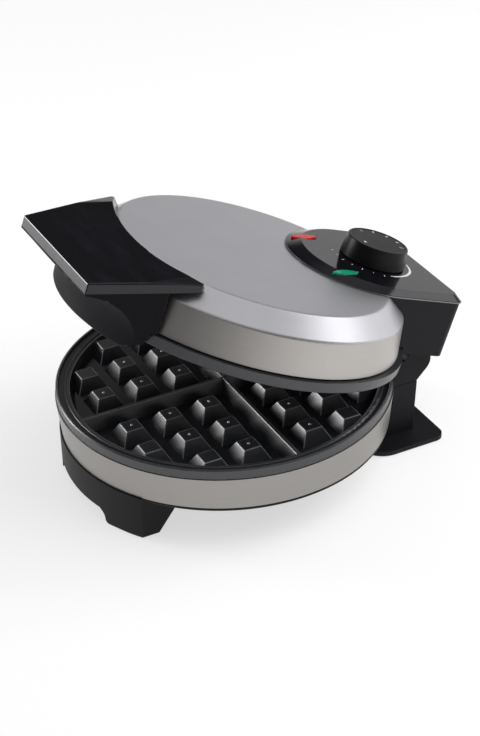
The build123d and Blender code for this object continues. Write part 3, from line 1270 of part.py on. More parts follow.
LID_PIECES = {
    "lid_shell": lid_shell,
    "upper_plate": upper_plate,
    "upper_heating_element": lambda: flipped(heating_element()),
    "upper_element_clamps": lambda: flipped(element_clamps()),
    "upper_clamp_screws": lambda: flipped(clamp_screws()),
    "upper_heat_shield": lambda: flipped(heat_shield()),
    "upper_plate_screws": upper_plate_screws,
    "lid_frame": lid_frame,
    "handle_cover": handle_cover,
    "front_housing": front_housing,
    "handle_screws": handle_screws,
    "rear_housing": rear_housing,
    "rear_housing_screws": housing_screws,
    "panel_trim": panel_trim,
    "control_panel": control_panel,
    "red_lens": red_lens,
    "green_lens": green_lens,
    "pilot_lamps": pilot_lamps,
    "lamp_holders": lamp_holders,
    "thermostat": thermostat,
    "thermostat_bracket": thermostat_bracket,
    "thermostat_screw": thermostat_screw,
    "thermostat_shaft": thermostat_shaft,
    "control_knob": control_knob,
    "knob_cap": knob_cap,
}


def ajar(piece):
    """Put a piece of the lid in its place, opened about the hinge pin."""
    hinge = Axis((0, HINGE_Y, HINGE_Z), (-1, 0, 0))
    return (Pos(0, 0, CLOSED_GAP) * piece).rotate(hinge, OPEN_ANGLE)


def main():
    placed = {name: make() for name, make in BASE_PIECES.items()}
    placed.update({name: ajar(make()) for name, make in LID_PIECES.items()})
    whole = [piece.bounding_box(optimal=True) for piece in placed.values()]
    front = min(b.min.Y for b in whole)
    rear = max(b.max.Y for b in whole)
    stand = Pos(0, -(front + rear) / 2, STANCE)
    os.makedirs("parts", exist_ok=True)
    for name, piece in placed.items():
        export_step(stand * piece, "parts/" + name + ".step")
    print("origin shift in y", round(-(front + rear) / 2, 4))
    print("hinge", round(HINGE_Y - (front + rear) / 2, 4), round(HINGE_Z + STANCE, 4))


main()
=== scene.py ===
import json
import math

import bmesh
import bpy
from mathutils import Matrix, Vector
from mathutils.geometry import intersect_line_line_2d, intersect_point_line

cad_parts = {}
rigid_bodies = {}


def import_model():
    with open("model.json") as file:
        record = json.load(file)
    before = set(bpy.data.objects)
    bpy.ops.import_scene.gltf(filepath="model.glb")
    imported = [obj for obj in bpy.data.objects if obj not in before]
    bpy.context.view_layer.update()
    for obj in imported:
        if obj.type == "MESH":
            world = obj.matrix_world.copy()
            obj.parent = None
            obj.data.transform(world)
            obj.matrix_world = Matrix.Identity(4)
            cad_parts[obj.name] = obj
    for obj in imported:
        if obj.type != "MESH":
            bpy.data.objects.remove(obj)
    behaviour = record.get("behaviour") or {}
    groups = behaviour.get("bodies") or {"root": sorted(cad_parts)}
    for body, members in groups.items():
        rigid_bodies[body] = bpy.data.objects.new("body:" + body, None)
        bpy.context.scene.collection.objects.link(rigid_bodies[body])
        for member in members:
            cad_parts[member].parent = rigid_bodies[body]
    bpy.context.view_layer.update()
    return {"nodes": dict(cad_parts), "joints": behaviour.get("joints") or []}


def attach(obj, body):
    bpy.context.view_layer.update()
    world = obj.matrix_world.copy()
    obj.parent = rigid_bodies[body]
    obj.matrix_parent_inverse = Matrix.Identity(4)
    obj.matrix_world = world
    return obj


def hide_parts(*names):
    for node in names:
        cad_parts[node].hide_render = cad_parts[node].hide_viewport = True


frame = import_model()

bl_info = {
    "name": "Waffle Maker Finish",
    "version": (1, 0, 0),
    "blender": (4, 5, 0),
    "location": "3D View > Sidebar > Waffle Maker",
    "description": "Dresses the round waffle maker with rounded edges, finishes, dial marks and a studio",
    "category": "Object",
}

MM = 0.001

# Heights on the base are from the lower rim, and those on the lid from the upper rim of the lid when shut. BASE puts
# them in the frame, and LID does with the lid ajar on its hinge.
HINGE = Vector(frame["joints"][0]["pos_m"])
HINGE_REACH = 110.0 * MM        # from the plates' axis to the pin
LOWER_RIM = 4.0 * MM            # the rims above the pin
UPPER_RIM = 4.6 * MM
LID_ANGLE = math.radians(21.2)
LID = (Matrix.Translation(HINGE) @ Matrix.Rotation(-LID_ANGLE, 4, "X")
       @ Matrix.Translation((0.0, -HINGE_REACH, UPPER_RIM)))
BASE = Matrix.Translation((0.0, HINGE.y - HINGE_REACH, HINGE.z + LOWER_RIM))

# The grid of the cooking plates
PEAK_FIRST = 19.7 * MM
PEAK_PITCH = 24.9 * MM
PEAK_TOP = 2.0 * MM
PEAK_ROWS = 3                   # rows on each side of the cross
WHOLE_REACH = 75.0 * MM         # pyramids within this radius are whole

# Dial and panel
KNOB_Y = 82.5 * MM
PANEL_H = 41.9 * MM
KNOB_CAP_H = 54.1 * MM
KNOB_CAP_R = 17.0 * MM

# Printed marks, with angles in degrees about the knob's axis
ARC_FROM, ARC_TO = -3.0, 83.0
ARC_WIDTH = 1.5 * MM
ARC_TIPS = 0.35                 # width at its ends, as a share
ARC_STEPS = 40
TICKS = 7
TICK_FIRST, TICK_STEP = 250.0, 16.0
TICK_LONG, TICK_SHORT, TICK_WIDTH = 2.1 * MM, 1.3 * MM, 0.45 * MM
NUMBERS = 5
NUMBER_FIRST, NUMBER_STEP, NUMBER_INSET = 195.0, 34.0, 2.6 * MM
POINTER_ANGLE, POINTER_R, POINTER_INSET = 288.0, 1.3 * MM, 4.2 * MM

# The dome's top, painted lighter and cooler than its wall as painted light for the overhead's reflection, begins
# above the wall, over a short way
DOME_CREST_H = 27.5 * MM
CREST_BELOW, CREST_ABOVE = 0.5 * MM, 0.8 * MM

# Edge rounding
WELD = 0.002 * MM
FLAT_ANGLE = 0.3                # degrees up to which neighbouring faces become one
ROOM_WIDTHS = 2.1               # an edge with less room beside it, in widths of the rounding, stays sharp,
CLEAR_WIDTHS = 4.0              # and so does one that is nearer than this to a spoiled spot
IN_LINE = 0.9                   # cosine from which two edges count as one run
SLIVER_AREA = 1e-9
FOLD = 0.3                      # cosine below which part of a face lies folded
PLAIN_CORNERS = 8               # a face with more is searched for the crossing itself
ATTEMPTS = 4

# Scales of the surface patterns
BRUSH_LINES, BRUSH_DRIFT, TONE_SCALE = 4200.0, 14.0, 9.0
GRAIN_SCALE, PIT_SCALE, SHEEN_SCALE = 2600.0, 1500.0, 34.0
WIPE_SCALE, SMUDGE_SCALE = 26.0, 420.0
SPECK_SCALE, PEEL_SCALE = 900.0, 1300.0
RIB_SCALE = 230.0

# Camera, as fitted to the rims. Its place is from the lower rim's middle, to its own right, upwards and back.
AZIMUTH, RISE, ROLL = math.radians(63.74), math.radians(32.21), math.radians(-1.92)
CAMERA_PLACE = (9.52 * MM, 3.45 * MM, 1186.35 * MM)
SENSOR = 36.0

# What the room shows in reflections: its level by height, from the horizon up, and its strength from front to rear
MIRROR_LOW, MIRROR_HIGH = 0.70, 0.56
MIRROR_BETWEEN = ((0.14, 0.76), (0.28, 0.05), (0.52, 0.05), (0.72, 0.50))
FRONT_Y, FRONT_STRENGTH = -0.9, 0.45
REAR_Y, REAR_STRENGTH = 0.1, 1.0

# The floor as the camera sees it is less lit and glows instead
FLOOR_SIDE = 8.0
FLOOR_LIT, FLOOR_GLOW = 0.45, 0.62


# Settings that a user would change

class WAFFLE_PG_edges(bpy.types.PropertyGroup):
    housing: bpy.props.FloatProperty(
        name="Housings", description="Radius of the moulded edges of the black housings",
        default=0.7 * MM, min=0.0, soft_max=0.003, unit="LENGTH", precision=5)
    handle: bpy.props.FloatProperty(
        name="Handle", description="Radius of the glossy handle's edges",
        default=0.5 * MM, min=0.0, soft_max=0.003, unit="LENGTH", precision=5)
    panel: bpy.props.FloatProperty(
        name="Panel", description="Radius of the edges of the control panel and its lenses",
        default=0.5 * MM, min=0.0, soft_max=0.003, unit="LENGTH", precision=5)
    plate: bpy.props.FloatProperty(
        name="Cooking plates", description="Radius of the cast edges of the cooking plates",
        default=0.45 * MM, min=0.0, soft_max=0.002, unit="LENGTH", precision=5)
    steel: bpy.props.FloatProperty(
        name="Sheet steel", description="Radius of the edges of the steel band and of the ring under the panel",
        default=0.18 * MM, min=0.0, soft_max=0.001, unit="LENGTH", precision=5)
    knob: bpy.props.FloatProperty(
        name="Knob", description="Radius of the knob's edges",
        default=0.25 * MM, min=0.0, soft_max=0.001, unit="LENGTH", precision=5)


class WAFFLE_PG_details(bpy.types.PropertyGroup):
    nub_radius: bpy.props.FloatProperty(
        name="Nub radius", description="Radius of the small nub on each pyramid of the grid",
        default=0.9 * MM, min=0.0, soft_max=0.003, unit="LENGTH", precision=5)
    nub_rise: bpy.props.FloatProperty(
        name="Nub rise", description="Height of the nub above the pyramid",
        default=0.55 * MM, min=0.0, soft_max=0.003, unit="LENGTH", precision=5)
    print_rise: bpy.props.FloatProperty(
        name="Print thickness", description="Thickness of the printed marks",
        default=0.05 * MM, min=0.0, soft_max=0.001, unit="LENGTH", precision=6)
    scale_radius: bpy.props.FloatProperty(
        name="Scale radius", description="Radius of the printed ring round the dial",
        default=24.0 * MM, min=0.0, soft_max=0.05, unit="LENGTH", precision=5)
    number_size: bpy.props.FloatProperty(
        name="Number size", description="Height of the numbers on the dial",
        default=3.6 * MM, min=0.0, soft_max=0.01, unit="LENGTH", precision=5)


class WAFFLE_PG_finish(bpy.types.PropertyGroup):
    steel: bpy.props.FloatVectorProperty(
        name="Brushed steel", description="Colour of the brushed stainless steel",
        default=(0.50, 0.48, 0.46), subtype="COLOR", size=3, min=0.0, max=1.0)
    disc: bpy.props.FloatVectorProperty(
        name="Disc", description="Colour of the disc on top of the lid, painted lighter and cooler than the wall as its reflected light",
        default=(0.79, 0.79, 0.83), subtype="COLOR", size=3, min=0.0, max=1.0)
    trim: bpy.props.FloatVectorProperty(
        name="Ring", description="Colour of the dark chrome ring under the panel",
        default=(0.24, 0.24, 0.25), subtype="COLOR", size=3, min=0.0, max=1.0)
    plastic: bpy.props.FloatVectorProperty(
        name="Black plastic", description="Colour of the moulded black plastic",
        default=(0.006, 0.006, 0.0075), subtype="COLOR", size=3, min=0.0, max=1.0)
    gloss: bpy.props.FloatVectorProperty(
        name="Gloss black", description="Colour of the polished black plastic",
        default=(0.004, 0.004, 0.006), subtype="COLOR", size=3, min=0.0, max=1.0)
    coating: bpy.props.FloatVectorProperty(
        name="Non-stick coating", description="Colour of the coating on the cooking plates",
        default=(0.018, 0.019, 0.023), subtype="COLOR", size=3, min=0.0, max=1.0)
    red: bpy.props.FloatVectorProperty(
        name="Red lens", description="Colour of the red pilot lens",
        default=(0.80, 0.030, 0.035), subtype="COLOR", size=3, min=0.0, max=1.0)
    green: bpy.props.FloatVectorProperty(
        name="Green lens", description="Colour of the green pilot lens",
        default=(0.0, 0.38, 0.20), subtype="COLOR", size=3, min=0.0, max=1.0)
    marks: bpy.props.FloatVectorProperty(
        name="Print", description="Colour of the printed marks",
        default=(0.80, 0.80, 0.80), subtype="COLOR", size=3, min=0.0, max=1.0)


class WAFFLE_PG_studio(bpy.types.PropertyGroup):
    room: bpy.props.FloatProperty(
        name="Room", description="Strength of the even light from all round",
        default=0.42, min=0.0, soft_max=2.0)
    key: bpy.props.FloatProperty(
        name="Key lamp", description="Power of the large lamp above and behind the lid",
        default=12.0, min=0.0, unit="POWER")
    fill: bpy.props.FloatProperty(
        name="Side lamp", description="Power of the low lamp at the front left",
        default=9.0, min=0.0, unit="POWER")
    rim: bpy.props.FloatProperty(
        name="Rear lamp", description="Power of the lamp behind the hinge",
        default=2.3, min=0.0, unit="POWER")
    floor: bpy.props.FloatVectorProperty(
        name="Floor", description="Colour of the floor",
        default=(0.86, 0.86, 0.86), subtype="COLOR", size=3, min=0.0, max=1.0)
    lens: bpy.props.FloatProperty(
        name="Focal length", description="Focal length of the camera for a 36 mm long side, in mm",
        default=97.83, min=1.0)


# Node trees

def new_group(name, inputs, outputs):
    """A shader node group with its sockets and its two end nodes."""
    tree = bpy.data.node_groups.new(name, "ShaderNodeTree")
    for label, kind, value in inputs:
        socket = tree.interface.new_socket(label, in_out="INPUT", socket_type="NodeSocket" + kind)
        if value is not None:
            socket.default_value = value
    for label, kind in outputs:
        tree.interface.new_socket(label, in_out="OUTPUT", socket_type="NodeSocket" + kind)
    return tree, tree.nodes.new("NodeGroupInput"), tree.nodes.new("NodeGroupOutput")


def feed(tree, value, socket):
    """Link a socket to another one, or give it a plain value."""
    if isinstance(value, bpy.types.NodeSocket):
        tree.links.new(value, socket)
    else:
        socket.default_value = value


def math_node(tree, operation, a, b=None, clamp=False):
    """A Math node fed by sockets or plain numbers."""
    node = tree.nodes.new("ShaderNodeMath")
    node.operation = operation
    node.use_clamp = clamp
    feed(tree, a, node.inputs[0])
    if b is not None:
        feed(tree, b, node.inputs[1])
    return node.outputs[0]


def blend_node(tree, mask, low, high):
    """A colour that goes from low to high with a mask, fed by sockets or plain colours."""
    node = tree.nodes.new("ShaderNodeMix")
    node.data_type = "RGBA"
    tree.links.new(mask, node.inputs[0])
    for value, socket in ((low, node.inputs[6]), (high, node.inputs[7])):
        feed(tree, value if isinstance(value, bpy.types.NodeSocket) else (*value, 1.0), socket)
    return node.outputs[2]


def scale_node(tree, vector, factor):
    """A vector times a number or a socket."""
    node = tree.nodes.new("ShaderNodeVectorMath")
    node.operation = "SCALE"
    tree.links.new(vector, node.inputs[0])
    feed(tree, factor, node.inputs["Scale"])
    return node.outputs[0]


def noise_node(tree, vector, scale, detail=2.0, rough=0.5):
    """A Noise Texture's value on a vector."""
    node = tree.nodes.new("ShaderNodeTexNoise")
    node.inputs["Scale"].default_value = scale
    node.inputs["Detail"].default_value = detail
    node.inputs["Roughness"].default_value = rough
    tree.links.new(vector, node.inputs["Vector"])
    return node.outputs["Fac"]


def range_node(tree, value, low, high, to_low, to_high):
    """A Map Range node that clamps."""
    node = tree.nodes.new("ShaderNodeMapRange")
    tree.links.new(value, node.inputs["Value"])
    for label, number in (("From Min", low), ("From Max", high), ("To Min", to_low), ("To Max", to_high)):
        node.inputs[label].default_value = number
    return node.outputs["Result"]


def turned_brushing():
    """Fine rings round the axis of a turned or brushed piece, with broad faint variation."""
    tree, start, end = new_group("Turned Brushing", [("Vector", "Vector", None), ("Fineness", "Float", 1.0)],
                                 [("Height", "Float"), ("Tone", "Float")])
    split = tree.nodes.new("ShaderNodeSeparateXYZ")
    tree.links.new(start.outputs["Vector"], split.inputs[0])
    x, y, z = split.outputs
    square = math_node(tree, "ADD", math_node(tree, "MULTIPLY", x, x), math_node(tree, "MULTIPLY", y, y))
    across = math_node(tree, "MULTIPLY", math_node(tree, "SQRT", square), BRUSH_LINES)
    along = math_node(tree, "MULTIPLY", math_node(tree, "ADD", x, y), BRUSH_DRIFT)
    up = math_node(tree, "MULTIPLY", z, BRUSH_LINES)
    course = tree.nodes.new("ShaderNodeCombineXYZ")
    for value, socket in zip((across, along, up), course.inputs):
        tree.links.new(value, socket)
    rings = noise_node(tree, scale_node(tree, course.outputs[0], start.outputs["Fineness"]), 1.0, rough=0.6)
    tree.links.new(rings, end.inputs["Height"])
    broad = noise_node(tree, start.outputs["Vector"], TONE_SCALE)
    tone = math_node(tree, "ADD", math_node(tree, "MULTIPLY", rings, 0.5), math_node(tree, "MULTIPLY", broad, 0.5))
    tree.links.new(tone, end.inputs["Tone"])


def moulded_grain():
    """The fine eroded grain of a plastic mould, with broad faint sheen changes."""
    tree, start, end = new_group("Moulded Grain", [("Vector", "Vector", None), ("Size", "Float", 1.0)],
                                 [("Height", "Float"), ("Sheen", "Float")])
    scaled = scale_node(tree, start.outputs["Vector"], start.outputs["Size"])
    fine = noise_node(tree, scaled, GRAIN_SCALE, 3.0, 0.7)
    pits = tree.nodes.new("ShaderNodeTexVoronoi")
    pits.inputs["Scale"].default_value = PIT_SCALE
    tree.links.new(scaled, pits.inputs["Vector"])
    height = math_node(tree, "ADD", math_node(tree, "MULTIPLY", fine, 0.7),
                       math_node(tree, "MULTIPLY", pits.outputs["Distance"], 0.3))
    tree.links.new(height, end.inputs["Height"])
    tree.links.new(noise_node(tree, start.outputs["Vector"], SHEEN_SCALE, 3.0, 0.55), end.inputs["Sheen"])


def handling_wear():
    """Faint wipe marks and smudges, as a mask, on a surface that is handled."""
    tree, start, end = new_group("Handling Wear", [("Vector", "Vector", None), ("Amount", "Float", 1.0)],
                                 [("Mask", "Float")])
    smear = tree.nodes.new("ShaderNodeMapping")
    smear.inputs["Scale"].default_value = (1.0, 3.5, 1.0)
    smear.inputs["Rotation"].default_value = (0.0, 0.0, 0.6)
    tree.links.new(start.outputs["Vector"], smear.inputs["Vector"])
    wipes = range_node(tree, noise_node(tree, smear.outputs[0], WIPE_SCALE, 5.0, 0.62), 0.45, 0.75, 0.0, 0.8)
    smudges = range_node(tree, noise_node(tree, start.outputs["Vector"], SMUDGE_SCALE), 0.62, 0.8, 0.0, 0.5)
    mask = math_node(tree, "ADD", wipes, smudges)
    tree.links.new(math_node(tree, "MULTIPLY", mask, start.outputs["Amount"], True), end.inputs["Mask"])


def speckle():
    """Mineral specks and a fine orange peel, as a sprayed and baked coating has."""
    tree, start, end = new_group("Coating Speckle", [("Vector", "Vector", None), ("Amount", "Float", 1.0)],
                                 [("Specks", "Float"), ("Height", "Float")])
    cells = tree.nodes.new("ShaderNodeTexVoronoi")
    cells.inputs["Scale"].default_value = SPECK_SCALE
    tree.links.new(start.outputs["Vector"], cells.inputs["Vector"])
    dots = range_node(tree, cells.outputs["Distance"], 0.08, 0.22, 1.0, 0.0)
    tree.links.new(math_node(tree, "MULTIPLY", dots, start.outputs["Amount"], True), end.inputs["Specks"])
    tree.links.new(noise_node(tree, start.outputs["Vector"], PEEL_SCALE), end.inputs["Height"])


class Finish:
    """A material with a Principled BSDF and helpers for what feeds it."""

    def __init__(self, name, color, rough, metallic=0.0, place=None):
        self.material = bpy.data.materials.new(name)
        self.material.use_nodes = True
        self.tree = self.material.node_tree
        self.shader = self.tree.nodes["Principled BSDF"]
        self.set("Base Color", (*color, 1.0))
        self.set("Roughness", rough)
        self.set("Metallic", metallic)
        coord = self.tree.nodes.new("ShaderNodeTexCoord")
        self.vector = coord.outputs["Object"]
        if place is not None:
            mapping = self.tree.nodes.new("ShaderNodeMapping")
            mapping.vector_type = "TEXTURE"
            mapping.inputs["Location"].default_value = place.to_translation()
            mapping.inputs["Rotation"].default_value = place.to_euler()
            self.tree.links.new(self.vector, mapping.inputs["Vector"])
            self.vector = mapping.outputs["Vector"]

    def set(self, label, value):
        """Set a socket of the shader."""
        self.shader.inputs[label].default_value = value

    def group(self, name, **values):
        """Place one of the shared node groups."""
        node = self.tree.nodes.new("ShaderNodeGroup")
        node.node_tree = bpy.data.node_groups[name]
        self.tree.links.new(self.vector, node.inputs["Vector"])
        for label, value in values.items():
            node.inputs[label].default_value = value
        return node

    def tint(self, mask, low, high):
        """The base colour goes from low to high with a mask."""
        self.tree.links.new(blend_node(self.tree, mask, low, high), self.shader.inputs["Base Color"])

    def roughen(self, mask, low, high):
        """The roughness goes from low to high with a mask."""
        self.tree.links.new(range_node(self.tree, mask, 0.0, 1.0, low, high), self.shader.inputs["Roughness"])

    def bump(self, height, strength, depth):
        """A height feeds the shader's normal."""
        node = self.tree.nodes.new("ShaderNodeBump")
        node.inputs["Strength"].default_value = strength
        node.inputs["Distance"].default_value = depth
        self.tree.links.new(height, node.inputs["Height"])
        self.tree.links.new(node.outputs["Normal"], self.shader.inputs["Normal"])


def shade(color, factor):
    """A lighter or darker version of a colour."""
    return tuple(min(1.0, channel * factor) for channel in color)


def brushed(name, color, rough, place):
    """Brushed sheet steel whose grain runs round a lathe axis."""
    finish = Finish(name, color, rough, 1.0, place)
    lines = finish.group("Turned Brushing")
    finish.tint(lines.outputs["Tone"], shade(color, 0.82), shade(color, 1.18))
    finish.roughen(lines.outputs["Tone"], rough - 0.10, rough + 0.10)
    finish.bump(lines.outputs["Height"], 0.5, 0.04 * MM)
    return finish


def domed(name, wall, top, rough_wall, rough_top):
    """The dome's sheet steel: brushed round its wall, and above its crest finely grained and painted lighter and
    cooler, as painted light for the overhead's reflection.
    """
    finish = Finish(name, wall, rough_wall, 1.0, LID)
    lines = finish.group("Turned Brushing")
    grain = finish.group("Moulded Grain", Size=0.7)
    split = finish.tree.nodes.new("ShaderNodeSeparateXYZ")
    finish.tree.links.new(finish.vector, split.inputs[0])
    above = range_node(finish.tree, split.outputs["Z"], DOME_CREST_H - CREST_BELOW, DOME_CREST_H + CREST_ABOVE,
                       0.0, 1.0)
    steel = blend_node(finish.tree, lines.outputs["Tone"], shade(wall, 0.82), shade(wall, 1.18))
    # The top's colour is painted lighter and cooler than the wall's: painted light for the overhead's reflection
    painted_light_top = blend_node(finish.tree, grain.outputs["Sheen"], shade(top, 0.95), shade(top, 1.05))
    finish.tint(above, steel, painted_light_top)
    finish.roughen(above, rough_wall, rough_top)
    lined = math_node(finish.tree, "MULTIPLY", lines.outputs["Height"],
                      math_node(finish.tree, "SUBTRACT", 1.0, above))
    grained = math_node(finish.tree, "MULTIPLY", grain.outputs["Height"], above)
    finish.bump(math_node(finish.tree, "ADD", lined, grained), 0.5, 0.04 * MM)
    return finish


def moulded(name, color, rough, size=1.0, strength=0.35, gloss=0.2):
    """Moulded plastic with an eroded grain."""
    finish = Finish(name, color, rough)
    finish.set("Specular IOR Level", gloss)
    grain = finish.group("Moulded Grain", Size=size)
    finish.tint(grain.outputs["Sheen"], shade(color, 0.8), shade(color, 1.25))
    finish.roughen(grain.outputs["Sheen"], rough - 0.06, rough + 0.08)
    finish.bump(grain.outputs["Height"], strength, 0.03 * MM)
    return finish


def polished(name, color, rough, gloss=0.5):
    """Polished plastic with faint wipe marks."""
    finish = Finish(name, color, rough)
    finish.set("Specular IOR Level", gloss)
    wear = finish.group("Handling Wear")
    finish.tint(wear.outputs["Mask"], color, shade(color, 2.0))
    finish.roughen(wear.outputs["Mask"], rough, rough + 0.10)
    return finish


def coated(name, color, rough, amount=1.0):
    """A sprayed and baked non-stick coating."""
    finish = Finish(name, color, rough)
    finish.set("Specular IOR Level", 0.9)
    coat = finish.group("Coating Speckle", Amount=amount)
    finish.tint(coat.outputs["Specks"], color, shade(color, 2.2))
    finish.roughen(coat.outputs["Specks"], rough, rough - 0.08)
    finish.bump(coat.outputs["Height"], 0.25, 0.04 * MM)
    return finish


def clear(name, color):
    """A clear moulded lens with fine ribs inside."""
    finish = Finish(name, color, 0.12)
    finish.set("Transmission Weight", 0.35)
    finish.set("IOR", 1.49)
    ribs = finish.tree.nodes.new("ShaderNodeTexWave")
    ribs.bands_direction = "X"
    ribs.inputs["Scale"].default_value = RIB_SCALE
    finish.tree.links.new(finish.vector, ribs.inputs["Vector"])
    finish.tint(ribs.outputs["Fac"], shade(color, 0.75), shade(color, 1.25))
    finish.bump(ribs.outputs["Fac"], 0.35, 0.2 * MM)
    return finish


def plain_metal(name, color, rough, metallic=1.0):
    """Plated or milled metal with a faint grain."""
    finish = Finish(name, color, rough, metallic)
    grain = finish.group("Moulded Grain", Size=0.8)
    finish.tint(grain.outputs["Sheen"], shade(color, 0.85), shade(color, 1.12))
    finish.roughen(grain.outputs["Sheen"], rough - 0.05, rough + 0.1)
    finish.bump(grain.outputs["Height"], 0.2, 0.02 * MM)
    return finish


# Mesh helpers

def only(*objects):
    """Select these objects and nothing else."""
    bpy.ops.object.select_all(action="DESELECT")
    for item in objects:
        item.select_set(True)
    bpy.context.view_layer.objects.active = objects[0]


def paint(item, *finishes):
    """Give an object its materials, in the order of its slots."""
    while len(item.data.materials) < len(finishes):
        item.data.materials.append(None)
    for slot, finish in zip(item.material_slots, finishes):
        slot.material = finish.material


def paint_nodes(finish, *names):
    """Give CAD nodes a finish."""
    for name in names:
        paint(frame["nodes"][name], finish)


def seat(item, place, body):
    """Put a finished piece in its place, with the place in its mesh, and let it ride."""
    only(item)
    bpy.ops.object.transform_apply(location=True, rotation=True, scale=True)
    item.data.transform(place)
    item.data.update()
    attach(item, body)


def join(items, name):
    """Make one object of several."""
    only(*items)
    bpy.ops.object.join()
    items[0].name = name
    items[0].data.name = name
    return items[0]


def on_dial(radius, angle, height):
    """A place round the knob's axis, on the shut lid."""
    return radius * math.cos(angle), KNOB_Y + radius * math.sin(angle), height


def thicken(item, thickness):
    """Give a flat mark the thickness of its ink."""
    ink = item.modifiers.new("Ink", "SOLIDIFY")
    ink.thickness = thickness
    ink.offset = 1.0
    only(item)
    bpy.ops.object.modifier_apply(modifier=ink.name)
    return item


def weigh_edges(item, width, limit, spoiled):
    """Give a rounding weight to the outer sharp edges that have room for it and lie off the spoiled spots."""
    room = ROOM_WIDTHS * width
    shape = bmesh.new()
    shape.from_mesh(item.data)
    weight = shape.edges.layers.float.new("bevel_weight_edge")
    sharp = {edge for edge in shape.edges
             if len(edge.link_faces) == 2 and edge.is_convex and edge.calc_face_angle(0.0) >= limit}
    for edge in sharp:
        course = (edge.verts[1].co - edge.verts[0].co).normalized()
        beside = []
        for vertex in edge.verts:
            for other in vertex.link_edges:
                way = (other.verts[1].co - other.verts[0].co).normalized()
                if other is not edge and (abs(way.dot(course)) < IN_LINE or other not in sharp):
                    beside.append(other.calc_length())
        unsound = any(near(spot, edge, CLEAR_WIDTHS * width) for spot in spoiled)
        if min(beside, default=room) >= room and not unsound:
            edge[weight] = 1.0
    shape.to_mesh(item.data)
    shape.free()


def near(spot, edge, reach):
    """Whether a spot lies within reach of an edge."""
    first, last = (vertex.co for vertex in edge.verts)
    share = intersect_point_line(spot, first, last)[1]
    return (first.lerp(last, min(1.0, max(0.0, share))) - spot).length < reach


def spoiled_spots(mesh):
    """Where a face is folded: its middle, or on a face of many corners, where its outline crosses itself."""
    mesh.calc_loop_triangles()
    folded = {piece.polygon_index for piece in mesh.loop_triangles
              if piece.area > SLIVER_AREA and piece.normal.dot(mesh.polygons[piece.polygon_index].normal) < FOLD}
    spots = []
    for index in folded:
        face = mesh.polygons[index]
        corners = [mesh.vertices[i].co for i in face.vertices]
        if len(corners) <= PLAIN_CORNERS:
            spots.append(face.center.copy())
            continue
        flat = face.normal.to_track_quat("Z", "Y").inverted()
        outline = [(flat @ corner).to_2d() for corner in corners]
        count = len(outline)
        for i in range(count):
            last = count - 1 if i == 0 else count   # the first and the last edge share a corner
            for j in range(i + 2, last):
                after = (j + 1) % count
                if intersect_line_line_2d(outline[i], outline[i + 1], outline[j], outline[after]):
                    spots.append(corners[i].lerp(corners[i + 1], 0.5))
                    spots.append(corners[j].lerp(corners[after], 0.5))
    return spots


def rounded(node, width, body, finish, edge_highlight=None, steps=2, limit=40.0, soft=42.0, clamp=False):
    """A copy of a CAD node, welded and with its sharp edges rounded, that stands for the node.

    The angles are in degrees: edges from limit on are rounded, and those from soft on stay sharp in the shading.
    Where the roundings fold a face, they are made again on the plain mesh without the edges near it. The last
    attempt also holds every rounding back to the room that it has, as clamp does from the first.
    """
    source = frame["nodes"][node]
    item = bpy.data.objects.new(node + "_rounded", source.data.copy())
    bpy.context.scene.collection.objects.link(item)
    only(item)
    bpy.ops.mesh.customdata_custom_splitnormals_clear()
    bpy.ops.object.mode_set(mode="EDIT")
    bpy.ops.mesh.select_mode(type="VERT")
    bpy.ops.mesh.select_all(action="SELECT")
    bpy.ops.mesh.remove_doubles(threshold=WELD)
    bpy.ops.mesh.mark_sharp(clear=True)
    bpy.ops.mesh.faces_shade_smooth()
    bpy.ops.mesh.dissolve_limited(angle_limit=math.radians(FLAT_ANGLE))
    bpy.ops.object.mode_set(mode="OBJECT")
    paint(item, finish, edge_highlight or finish)
    plain = item.data
    spoiled = []
    for attempt in range(ATTEMPTS):
        item.data = plain.copy()
        weigh_edges(item, width, math.radians(limit), spoiled)
        bevel = item.modifiers.new("Edge rounds", "BEVEL")
        bevel.width = width
        bevel.segments = steps
        bevel.limit_method = "WEIGHT"
        bevel.use_clamp_overlap = clamp or attempt == ATTEMPTS - 1
        # The rounded faces take the second finish; where one is given it is painted lighter, as a highlight on the
        # edges
        bevel.material = 1
        bevel.miter_outer = "MITER_ARC"
        bpy.ops.object.modifier_apply(modifier=bevel.name)
        found = spoiled_spots(item.data)
        if not found:
            break
        spoiled.extend(found)
    bpy.ops.object.shade_smooth_by_angle(angle=math.radians(soft))
    weights = item.modifiers.new("Flat faces", "WEIGHTED_NORMAL")
    weights.keep_sharp = True
    bpy.ops.object.modifier_apply(modifier=weights.name)
    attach(item, body)
    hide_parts(node)


# One operator for each group of pieces

class WAFFLE_OT_patterns(bpy.types.Operator):
    """Build the surface patterns that the finishes share"""
    bl_idname = "waffle.patterns"
    bl_label = "Surface Patterns"

    def execute(self, context):
        turned_brushing()
        moulded_grain()
        handling_wear()
        speckle()
        return {"FINISHED"}


class WAFFLE_OT_housings(bpy.types.Operator):
    """Round and texture the moulded black housings, the stand and the foot"""
    bl_idname = "waffle.housings"
    bl_label = "Black Housings"

    def execute(self, context):
        edges = context.scene.waffle_edges
        color = context.scene.waffle_finish.plastic
        satin = moulded("Satin black moulding", shade(color, 1.4), 0.54)
        matte = moulded("Matte black moulding", shade(color, 1.3), 0.64, gloss=0.10)
        # The edge finish is painted a little lighter than the housings: a painted highlight on the rounded edges
        edge = moulded("Satin black edge painted lighter", shade(color, 1.5), 0.38, strength=0.15)
        for node, body in (("base_shell", "base"), ("rear_stand", "base"), ("hinge_block", "base"),
                           ("front_housing", "lid"), ("rear_housing", "lid")):
            rounded(node, edges.housing, body, matte if node == "front_housing" else satin, edge)
        return {"FINISHED"}


